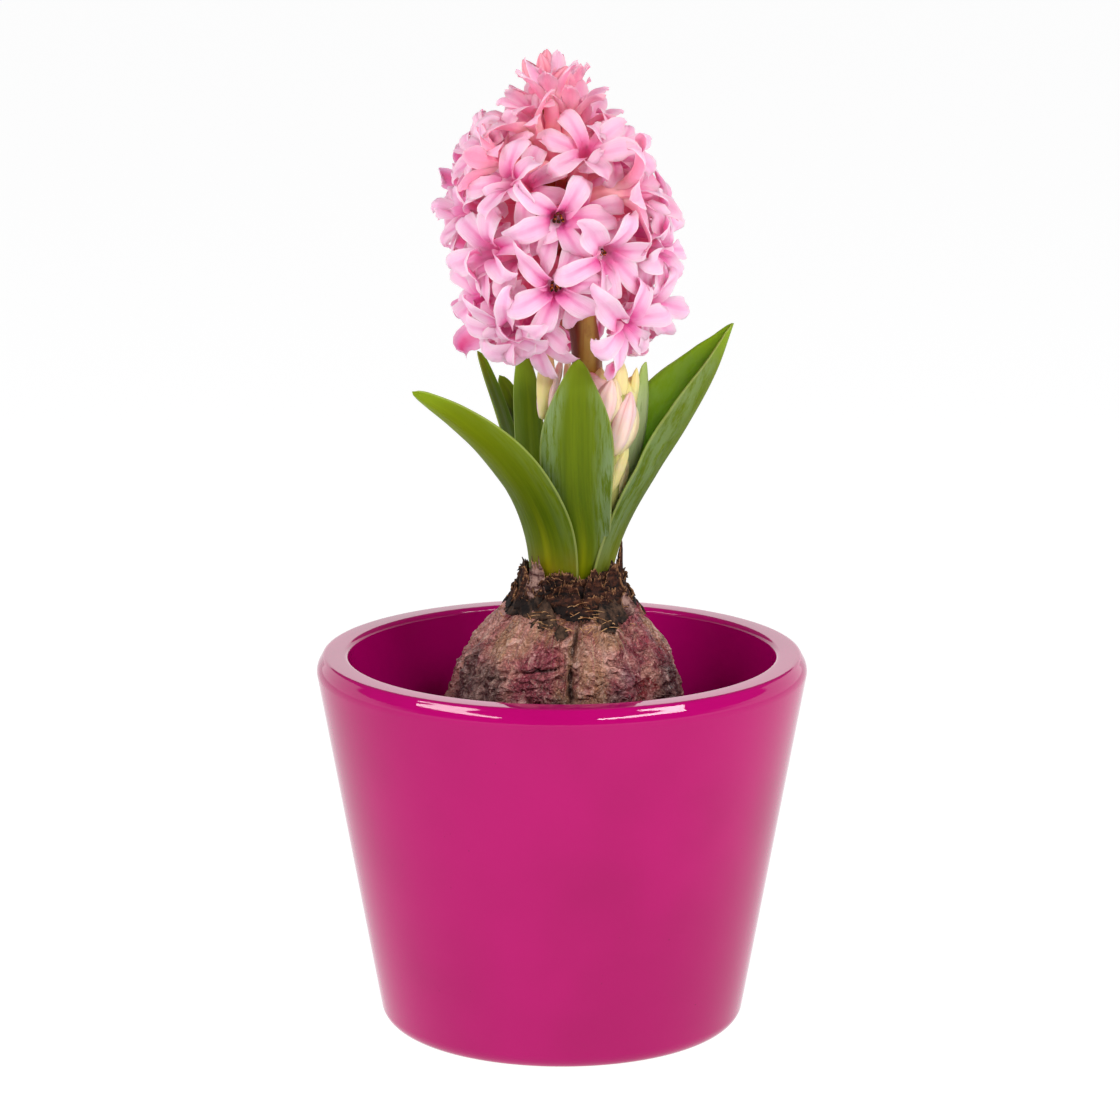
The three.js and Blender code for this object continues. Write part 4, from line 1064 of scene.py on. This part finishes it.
# Those listed one by one, most of which show in front: the number in the spiral that each stands for (0 for
# one more), its throat in mm, the way it looks (degrees right of the front, degrees up), roll, kind, size,
# tone
SHOWN_FLORETS = [
    (15, (-1, -25, 211), 4, -4, 5, 0, 1.0, 0.05), (7, (-1.7, -25, 194.6), 2, -14, 13, 2, 1.0, 0.0),
    (12, (9.5, -23.5, 202.5), 32, -12, 17, 4, 1.06, 0.05),
    (10, (-15.6, -19.5, 202), -50, 2, 21, 8, 1.04, 0.0),
    (18, (-12.2, -19.5, 218.2), -36, 30, 28, 3, 0.94, 0.1),
    (4, (13.7, -20, 185.5), 40, -28, 25, 5, 1.04, 0.0), (2, (-12.2, -19, 184.5), -24, -36, 10, 6, 0.96, 0.0),
    (5, (-17, -14, 190), -52, -10, 20, 1, 0.98, 0.0), (13, (-21, -8, 210.5), -66, 8, 30, 9, 0.96, 0.15),
    (21, (-19, -6, 221), -74, 6, 10, 7, 0.86, 0.3), (26, (-13.8, -9, 225), -50, 40, 20, 11, 0.8, 0.5),
    (23, (5.5, -15, 224.5), 12, 36, 40, 10, 0.92, 0.55), (28, (-13.6, -16, 223), -98, 8, 10, 13, 0.84, 0.95),
    (20, (14, -16, 216), 72, 12, 10, 11, 1.1, 0.8), (25, (11, -11, 224.5), 46, 28, 10, 7, 0.8, 0.25),
    (17, (22, -6, 211), 70, 4, 20, 0, 0.96, 0.05), (9, (22.6, -9, 201), 62, -8, 0, 2, 0.96, 0.0),
    (1, (19.5, -11, 189), 54, -24, 10, 3, 0.92, 0.0), (29, (-6.4, -10, 229.6), -80, 56, 0, 12, 0.88, 0.95),
    (0, (-6.4, -6, 234), -50, 60, 0, 12, 0.64, 0.7), (0, (-2.6, -8, 237), -40, 85, 0, 14, 0.8, 0.7),
    (0, (2, -7, 233), 60, 78, 20, 13, 0.74, 0.8), (0, (4.6, -3, 230), 70, 64, 0, 13, 0.7, 0.6),
    (24, (-10, 9, 224.6), -140, 34, 0, 11, 0.8, 0.5), (22, (8.6, 11, 221.4), 130, 26, 0, 10, 0.8, 0.4),
    (0, (-7.5, -14, 180.5), 14, -50, 0, 7, 0.86, 0.0), (0, (-14, 6, 180), -130, -48, 12, 8, 0.86, 0.1),
    (0, (16, 4, 180), 110, -52, 20, 8, 0.86, 0.1), (0, (-2, 17, 180), 175, -52, 0, 7, 0.86, 0.1),
    (0, (0, 4, 232.6), 160, 78, 0, 14, 0.72, 0.8), (0, (-5.6, 0, 234.6), -90, 78, 0, 14, 0.62, 0.85),
    (0, (-3.2, -2, 238), 0, 88, 0, 15, 0.58, 0.85),
]


def drawn(k, salt):
    """The same draw as the solids make, 0 to 1 for floret k."""
    value = math.sin(k * 12.9898 + salt * 78.233) * 43758.5453
    return value - math.floor(value)


def new_lobe(i, opening, pick):
    """How lobe i grows: its size and twist, and its radius, height and slope at each row from the throat."""
    size = 1 if i % 2 == 0 else INNER_SHARE
    lobe = dict(
        middle=math.radians(60 * i + pick.uniform(-10, 10) * opening),
        wide=pick.uniform(0.9, 1.14),
        twist=pick.uniform(-1.4, 1.4) * opening,
        bend=pick.uniform(-4, 4) * opening,
        trough=pick.uniform(0.8, 3.6),
        wave=pick.uniform(0.3, 1.1),
        phase=pick.uniform(0, 6),
        outer=0.45 if i % 2 == 0 else -0.25,
    )
    steps = LOBE_ROWS * FINE_STEPS
    length = LOBE_LENGTH * size * pick.uniform(0.86, 1.12)
    flat = math.radians(pick.uniform(44, 100)) * opening**0.9
    curl = math.radians(pick.uniform(120, 270)) * opening
    knee, curl_from = pick.uniform(0.3, 0.5), pick.uniform(0.5, 0.68)
    radius, height = THROAT_RADIUS, 0.0
    lobe["rows"] = [(radius, height, LOBE_START)]
    for step in range(steps):
        s = (step + 0.5) / steps
        slope = LOBE_START + flat * step_up(s, 0, knee) + curl * step_up(s, curl_from, 1.1)
        radius += math.sin(slope) * length / steps
        height += math.cos(slope) * length / steps
        if step % FINE_STEPS == FINE_STEPS - 1:
            lobe["rows"].append((radius, height, slope))
    return lobe


def lobe_spot(lobe, row, u, face):
    """A point on a lobe, at one of its rows and u across it, on its inner (1) or outer (-1) face."""
    s = row / LOBE_ROWS
    radius, height, slope = lobe["rows"][row]
    thick = (0.45 - 0.2 * s) * (1 - 0.8 * u * u)
    turn = lobe["middle"] + math.radians(30) * u
    cup = Vector((math.cos(turn), math.sin(turn), 0)) * (radius - math.cos(slope) * thick * face)
    cup.z = height + math.sin(slope) * thick * face
    out = Vector((math.cos(lobe["middle"]), math.sin(lobe["middle"]), 0))
    side = Vector((-out.y, out.x, 0))
    ahead = out * math.sin(slope) + Vector((0, 0, math.cos(slope)))
    spin = Matrix.Rotation(lobe["twist"] * s * s, 3, ahead)
    side, normal = spin @ side, spin @ (Vector((0, 0, math.sin(slope))) - out * math.cos(slope))
    half = along(LOBE_WIDTH, s) * lobe["wide"]
    lift = (lobe["trough"] * (1 - 1.5 * s) + 1.6 * step_up(s, 0.82, 1)) * u * u
    lift += lobe["wave"] * math.sin(6.5 * s + lobe["phase"] + 2 * u) * abs(u) * s
    groove = -0.45 * bell(u / 0.25) * (1 - 0.5 * s)
    free = out * radius + Vector((0, 0, height)) + side * (half * u + lobe["bend"] * s * s)
    free += normal * (lift + groove + thick * face - lobe["outer"] * min(s * 4, 1))
    return cup.lerp(free, step_up(s, 0, 0.2))


def floret(opening, seed):
    """A floret that looks along Z, its throat at the origin, with (across, along, outside) at each point."""
    pick = random.Random(seed)
    points, marks, faces = [], [], []
    sides, last = 6 * LOBE_COLUMNS, LOBE_COLUMNS

    def put(place, u, s, outside):
        points.append(place)
        marks.append((u, s, outside))
        return len(points) - 1

    def ring(radius, height, outside):
        turns = [math.radians(60 * c / LOBE_COLUMNS - 30) for c in range(sides)]
        places = [(radius * math.cos(a), radius * math.sin(a), height) for a in turns]
        return [put(place, 0, height / TUBE_LENGTH, outside) for place in places]

    lobes = [new_lobe(i, opening, pick) for i in range(6)]
    across = [2 * c / last - 1 for c in range(last + 1)]
    rims = {}
    for face in (1, -1):
        starts = [lobe_spot(lobes[c // last], 0, across[c % last], face) for c in range(sides)]
        rims[face] = [put(start, 0, 0, face < 0) for start in starts]
    tube = [ring(r, z, 1) for r, z in TUBE] + [rims[-1]]
    throat = [rims[1]] + [ring(r, z, 0) for r, z in THROAT]
    for stack in (tube, throat):
        for low, high in zip(stack, stack[1:]):
            for c in range(sides):
                n = (c + 1) % sides
                faces.append([low[c], low[n], high[n], high[c]])
    heel, pit = put((0, 0, TUBE_END), 0, -1, 1), put((0, 0, THROAT_END), 0, -0.5, 0)
    for c in range(sides):
        n = (c + 1) % sides
        faces.append([heel, tube[0][n], tube[0][c]])
        faces.append([throat[-1][c], throat[-1][n], pit])

    for i, lobe in enumerate(lobes):
        grid = {}
        for face in (1, -1):
            grid[face] = [[rims[face][(i * last + c) % sides] for c in range(last + 1)]]
            for row in range(1, LOBE_ROWS + 1):
                places = [lobe_spot(lobe, row, u, face) for u in across]
                s = row / LOBE_ROWS
                grid[face].append([put(place, u, s, face < 0) for place, u in zip(places, across)])
        inner, outer = grid[1], grid[-1]
        for r in range(LOBE_ROWS):
            for c in range(last):
                faces.append([inner[r][c], inner[r + 1][c], inner[r + 1][c + 1], inner[r][c + 1]])
                faces.append([outer[r][c], outer[r][c + 1], outer[r + 1][c + 1], outer[r + 1][c]])
            faces.append([inner[r][0], outer[r][0], outer[r + 1][0], inner[r + 1][0]])
            faces.append([outer[r][last], inner[r][last], inner[r + 1][last], outer[r + 1][last]])
        for c in range(last):
            faces.append([inner[-1][c], outer[-1][c], outer[-1][c + 1], inner[-1][c + 1]])
    return points, faces, marks


# The petals glow faintly with their own colour: painted light that lifts the shade between the florets
petal, place, over = new_finish(
    "pink_petal", Specular_IOR_Level=0.35, Sheen_Weight=0.08, Sheen_Roughness=0.4, Emission_Strength=0.06,
    Subsurface_Weight=0.5, Subsurface_Scale=0.004, Subsurface_Radius=(1.0, 0.42, 0.62),
)
mark, tone = place.own("petal"), place.own("tone", "Fac")
across, up, outside = mark.parts()
side = across.size()
vein = mark.stretched(1, 0.12, 1).speckle(9, 3, 0.6)
wash, fine = place.speckle(130, 3), place.speckle(1600, 2)
inside_paint = layered(
    (up.rise(0.0, 0.6) * 0.7 + side.rise(0.1, 1.0) * 0.3).between(paint(238, 130, 182), paint(248, 196, 222)),
    (up.rise(0.44, 0.08) * 0.95, (220, 56, 142)),
    (side.rise(0.34, 0.0) * up.rise(0.95, 0.25) * 0.6, (226, 92, 160)),
    (side.rise(0.82, 1.0) * up.rise(0.2, 0.5) * 0.5, (254, 228, 242)),
)
outside_paint = layered(
    side.rise(0.05, 0.75).between(paint(234, 96, 150), paint(242, 158, 194)),
    (up.rise(0.15, -0.25) * 0.8, (246, 112, 154)),
    (up.rise(-0.7, -1.0) * 0.6, (214, 104, 108)),
)
coral = (wash.rise(0.4, 0.62) * up.rise(0.5, 0.0)).between(paint(250, 154, 174), paint(252, 182, 176))
pink = layered(
    inside_paint,
    (outside, outside_paint),
    (vein.rise(0.45, 0.7) * 0.2, (230, 124, 174)),
    (wash.rise(0.35, 0.7) * 0.25, (252, 214, 234)),
    (tone * (outside * 0.5 + 0.4), coral),
)
# The emission colour is the petal colour itself, painted light that brightens the shaded petals
over(
    Base_Color=pink, Emission_Color=pink, Roughness=0.42 + wash * 0.12,
    Normal=bumped(vein + fine * 0.35, 0.00018, 0.7),
)
kinds = []
for number, opening in enumerate(OPENINGS):
    points, faces, marks = floret(opening, 40 + number)
    kinds.append(shaped("floret", points, faces, {"petal": marks}, petal))

spots, stems = [], []


def add_floret(throat, root, look, roll, kind, size, tone):
    """One floret: its throat's place in mm, its stem's root, the way it looks and its roll in degrees."""
    spots.append((throat, facing(look, math.radians(roll)), (size,) * 3, kind, tone))
    stems.append((root, throat - look * STEM_END * size, size))


def round_head(azimuth, radius, z):
    """The way out from the middle of the head at an azimuth and height, and the place so far out."""
    out = Vector((math.cos(azimuth), math.sin(azimuth), 0))
    return out, out * radius + Vector((along(HEAD_CENTRE, z), 0, z))


by_hand = {row[0] for row in SHOWN_FLORETS if row[0]}
for _, place, bearing, up, roll, kind, size, tone in SHOWN_FLORETS:
    turn, lean = math.radians(bearing), math.radians(up)
    look = Vector((math.sin(turn) * math.cos(lean), -math.cos(turn) * math.cos(lean), math.sin(lean)))
    throat = Vector(place)
    height = throat.z - math.hypot(throat.x, throat.y) * math.tan(min(lean, 1.1))
    add_floret(throat, path_at(STALK_PATH, min(max(height, 184), 238)), look, roll, kind, size, tone)

for k in range(FLORET_COUNT):
    up = k - FACING_FLORET
    crowded = CROWDED_RISE * (1 - math.exp(-max(up - CROWDED_FROM, 0) / CROWDED_RATE))
    z = FACING_HEIGHT + FLORET_PITCH * min(up, CROWDED_FROM) + crowded + 1.2 * (drawn(k, 1) - 0.5)
    azimuth = math.radians(-90) + TURN * up + math.radians(12) * (drawn(k, 2) - 0.5)
    tilt = math.radians(along(TILT, z) + 12 * (drawn(k, 3) - 0.5))
    radius = along(SPREAD, z) + 2.4 * (drawn(k, 4) - 0.5)
    throat = round_head(azimuth, radius, z)[1]
    root = path_at(STALK_PATH, z - radius * math.tan(tilt))
    high = step_up(z, 217, 230)
    kind = int(drawn(k, 11) * OPEN_KINDS)
    if high > 0:
        wanted = along(OPENING, z) * (0.9 + 0.2 * drawn(k, 5)) * (1 - 0.55 * high)
        kind = min(range(len(OPENINGS)), key=lambda n: abs(OPENINGS[n] - wanted))
    # Each nods a little off its stem's line, and the top ones stand up more
    nod = Vector((drawn(k, 14) - 0.5, drawn(k, 15) - 0.5, drawn(k, 16) - 0.5)) * 0.85 * (1 - high)
    look = ((throat - root).normalized() + nod + Vector((0, 0, 0.12 + 0.8 * high))).normalized()
    size = along(REACH, z) * (0.94 + 0.12 * drawn(k, 6)) / LOBE_LENGTH
    tone = 0.12 * drawn(k, 12) + 0.8 * step_up(z, 218, 230)
    if k not in by_hand:
        add_floret(throat, root, look, 60 * drawn(k, 8), kind, size, tone)

florets = copies_at("flower_head", kinds, spots, petal)
florets.set_sharp_from_angle(angle=CREASE_ANGLE)
stood("flower_head", florets, "pink_petal", "flower_head")

# Between them, set a little deeper, more of the same
inner_spots = []
for k in range(INNER_FLORETS):
    z = FACING_HEIGHT + FLORET_PITCH * (k - FACING_FLORET) + 2 * (drawn(k, 21) - 0.5)
    azimuth = math.radians(-67.5) + TURN * (k - FACING_FLORET) + math.radians(14) * (drawn(k, 22) - 0.5)
    radius = along(SPREAD, z) * INNER_DEPTH
    out, throat = round_head(azimuth, radius, z)
    nod = Vector((drawn(k, 23) - 0.5, drawn(k, 24) - 0.5, drawn(k, 25) - 0.2))
    look = (out + nod + Vector((0, 0, math.tan(math.radians(along(TILT, z)))))).normalized()
    kind, tone = int(drawn(k, 27) * OPEN_KINDS), 0.2 * drawn(k, 28) + 0.5 * step_up(z, 214, 228)
    inner_spots.append((throat, facing(look, 6 * drawn(k, 26)), (INNER_SIZE,) * 3, kind, tone))
    stems.append((path_at(STALK_PATH, z - radius * 0.2), throat - look * INNER_STEM_END, INNER_SIZE))
inner_florets = copies_at("inner_florets", kinds, inner_spots, petal)
inner_florets.set_sharp_from_angle(angle=CREASE_ANGLE)
stood("inner_florets", inner_florets, "pink_petal")


def hoop(centre, radius, sides, turn=Matrix.Identity(3), squash=1.0):
    """A ring of points round a centre, square to a facing matrix's Z axis and flattened along its Y axis."""
    angles = [math.tau * n / sides for n in range(sides)]
    return [centre + turn @ Vector((radius * math.cos(a), radius * squash * math.sin(a), 0)) for a in angles]


pedicels = []
for root, end, size in stems:
    ahead = (end - root).normalized()
    rings = [[root]]
    for i in range(STEM_STEPS + 1):
        t = i / STEM_STEPS
        r = (1.25 + 0.5 * (1 - t) ** 3 + 0.4 * t**3) * (0.6 + 0.4 * size)
        sagging = root.lerp(end, t) - Vector((0, 0, 0.5 * math.sin(math.pi * t)))
        rings.append(hoop(sagging, r, STEM_SIDES, facing(ahead)))
    rings.append([end + ahead * 0.4])
    pedicels.append((*skin(rings), []))
stem_finish, place, over = new_finish("pedicel", Specular_IOR_Level=0.4, Subsurface_Weight=0.1)
mottle = place.speckle(240, 3)
over(
    Base_Color=mottle.rise(0.35, 0.65).between(paint(198, 92, 96), paint(172, 108, 62)),
    Roughness=0.4 + mottle * 0.15,
)
stood("pedicels", shaped("pedicels", *merged(pedicels)[:2], {}, stem_finish), "stalk")

anther_finish, place, over = new_finish("anther", Roughness=0.7)
over(Base_Color=place.speckle(1800, 2).rise(0.48, 0.6).between(paint(26, 12, 8), paint(204, 112, 30)))
anthers = []
for i in range(6):
    angle = math.radians(60 * i + 30)
    out = Vector((math.cos(angle), math.sin(angle), 0))
    low = out * 0.9 + Vector((0, 0, -1.6))
    high = out * (0.7 + 0.7 * (i % 2)) + Vector((0, 0, 3.4 - 1.1 * (i % 2)))
    rings = [[low]]
    for t, r in ((0.15, 0.26), (0.4, 0.46), (0.7, 0.5), (0.92, 0.26)):
        rings.append(hoop(low.lerp(high, t), r, 8, facing(high - low), 0.8))
    anthers.append((*skin([*rings, [high]]), []))
cluster = shaped("anthers", *merged(anthers)[:2], {}, anther_finish)
# Only in some of the florets can the anthers be seen; the third floret shows small ones
anther_spots = []
for k, (throat, turn, size, kind, tone) in enumerate(spots):
    if k < 2 or k > 11 and k % 3 == 0 and kind < OPEN_KINDS:
        anther_spots.append((throat, turn, size, 0, tone))
anther_spots.append((*spots[2][:2], (0.62,) * 3, 0, spots[2][4]))
stood("anthers", copies_at("anthers", [cluster], anther_spots, anther_finish), "stalk")


# Closed buds crown the head and cover the short second stalk beside the front leaf: pointed spindles of six
# lobes still pressed together, coral on the head and cream, peach and pale pink on the second stalk.
TIP_BUDS, BUD_COUNT, BUD_FOOT, BUD_PITCH = 6, 11, 135, 2.6
BUD_ROWS, BUD_SIDES, SPIKE_ROWS, SPIKE_SIDES, SPIKE_TOP = 16, 24, 40, 16, 164
BUD_TURN = math.radians(137.5)
BUD_AXIS = [(LEAF_FOOT, 8.2, -1.9), (118, 8.7, -2.7), (138, 12.2, -5.8), (SPIKE_TOP, 14.2, -6.8)]
BUD_STEM_RADIUS = [(118, 1.2), (138, 2.2), (SPIKE_TOP, 1.6)]
BUD_LEANS = [0.35, -0.3, 0.15, 0.5]
BUD_SHAPE = [
    (0, 0.3), (0.12, 0.62), (0.3, 0.88), (0.5, 1), (0.66, 0.96), (0.8, 0.76), (0.9, 0.5), (0.97, 0.26),
    (1, 0.1),
]
# The buds that show in front, each from its foot to its tip in mm, with its thickness and its tone from
# cream (0) to pink (1); the last five are small ones, dried off, to the left of the flower stalk
SHOWN_BUDS = [
    ((12.6, -8.6, 149), (17.6, -7, 164.6), 3.1, 1.0), ((8.4, -8, 153.6), (12, -9, 168.6), 3.0, 0.8),
    ((12.4, -7.4, 156), (13.4, -8, 168.4), 2.2, 0.45), ((13.6, -5, 160), (15, -4.6, 173.6), 2.7, 0.25),
    ((17.4, -4, 159), (18.6, -3.2, 170.4), 1.3, 0.0), ((8.2, -5.4, 161), (10, -5.6, 170.6), 2.2, 0.1),
    ((11.6, -7.2, 138.5), (16.2, -6.2, 151.6), 2.0, 0.05), ((-4.6, -7, 158), (-4, -6.4, 176.6), 2.4, 0.0),
    ((-1.8, -7.6, 165), (-0.6, -8.6, 173.4), 1.1, 0.95), ((-3, -8, 160), (-1.2, -8.4, 168.6), 1.2, 1.0),
    ((0.8, -8.2, 166), (1.8, -8.6, 174.2), 1.0, 0.1), ((-5.4, -6, 158), (-5, -6.4, 166), 1.1, 0.9),
]


def bud(lean, seed):
    """A closed bud one unit long and one wide, with six furrows that deepen to its tip."""
    rings, marks = [[(0, 0, -0.01)]], [(0, 0, 0)]
    for i in range(BUD_ROWS + 1):
        t = i / BUD_ROWS
        rings.append([])
        for k in range(BUD_SIDES):
            angle = math.tau * k / BUD_SIDES
            furrow = 1 - (0.07 + 0.22 * t * t) * abs(math.sin(3 * angle + seed)) ** 6
            bulge = 1 + 0.05 * wobble(math.cos(angle), math.sin(angle), 3 * t + seed)
            r = along(BUD_SHAPE, t) * furrow * bulge
            rings[-1].append((r * math.cos(angle) + lean * t * t, r * math.sin(angle), t))
            marks.append((abs(math.sin(3 * angle + seed)), t, 0))
    return (*skin([*rings, [(lean, 0, 1.01)]]), [*marks, (1, 1, 0)])


def looking(azimuth, tilt):
    return Vector((math.cos(azimuth) * math.cos(tilt), math.sin(azimuth) * math.cos(tilt), math.sin(tilt)))


bud_finish, place, over = new_finish(
    "pale_bud", Specular_IOR_Level=0.4, Subsurface_Weight=0.3, Subsurface_Scale=0.002,
    Subsurface_Radius=(1.0, 0.6, 0.4),
)
furrow, up = place.own("bud").parts()[:2]
tone = place.own("tone", "Fac")
wash = place.speckle(160, 3)
streak = place.stretched(1, 1, 0.2).speckle(800, 3)
pale = layered(
    tone.rise(0.1, 0.9).between(paint(236, 222, 148), paint(250, 208, 206)),
    (up.rise(0.25, 0.0) * 0.7, (206, 200, 110)),
    (wash.rise(0.45, 0.7) * 0.45, (250, 222, 190)),
    (furrow.rise(0.88, 1.0) * up.rise(0.2, 0.6) * 0.5 * tone.rise(0.0, 0.6), (230, 140, 136)),
    (streak.rise(0.55, 0.7) * 0.2, (244, 206, 160)),
)
coral = layered(
    up.rise(0.1, 0.8).between(paint(226, 92, 128), paint(244, 158, 176)),
    (furrow.rise(0.8, 1.0) * 0.5, (206, 70, 100)),
)
over(
    Base_Color=layered(pale, (tone.rise(1.4, 1.6), coral)),
    Roughness=0.42 + wash * 0.1,
    Normal=bumped(streak + furrow * 0.2, 0.0002, 0.7),
)
bud_kinds = []
for number, lean in enumerate(BUD_LEANS):
    points, faces, marks = bud(lean, number * 0.4)
    bud_kinds.append(shaped("bud", points, faces, {"bud": marks}, bud_finish))

tip_spots = []
for k in range(TIP_BUDS):
    length, thick = 12.6 - 0.8 * k, 2.5 - 0.15 * k
    ahead = looking(TURN * k - math.radians(60), math.radians(52 + 7 * k))
    tip_spots.append((path_at(STALK_PATH, 236 + k), facing(ahead, k), (thick, thick, length), k % 4, 2.0))
stood("tip_buds", copies_at("tip_buds", bud_kinds, tip_spots, bud_finish), "pink_petal")

spike_spots = []
for k in range(BUD_COUNT):
    low = path_at(BUD_AXIS, BUD_FOOT + BUD_PITCH * k)
    length, thick = 14.5 - 0.1 * k, 2.5 + 0.07 * k
    ahead = looking(BUD_TURN * k + 0.4, math.radians(70 - 1.2 * k))
    if ahead.y > -0.1:
        spike_spots.append((low, facing(ahead, 0.8 * k), (thick, thick, length), k % 4, drawn(k, 31)))
for k, (low, high, thick, tone) in enumerate(SHOWN_BUDS):
    reach = Vector(high) - Vector(low)
    spike_spots.append((low, facing(reach, 0.7 * k), (thick, thick, reach.length), k % 4, tone))
stood("bud_spike", copies_at("spike_buds", bud_kinds, spike_spots, bud_finish), "pale_bud", "bud_spike")

rings = [[path_at(BUD_AXIS, LEAF_FOOT)]]
for i in range(SPIKE_ROWS + 1):
    z = LEAF_FOOT + (SPIKE_TOP - LEAF_FOOT) * i / SPIKE_ROWS
    rings.append(hoop(path_at(BUD_AXIS, z), along(BUD_STEM_RADIUS, z), SPIKE_SIDES))
rings.append([path_at(BUD_AXIS, SPIKE_TOP) + Vector((0, 0, 0.4))])
green_stem, place, over = new_finish("green_stem", Roughness=0.45)
shade = place.stretched(1, 1, 0.1).speckle(700, 3)
over(Base_Color=shade.rise(0.35, 0.65).between(paint(150, 150, 60), paint(196, 190, 110)))
stood("bud_stem", shaped("bud_stem", *skin(rings), {}, green_stem), "stalk")
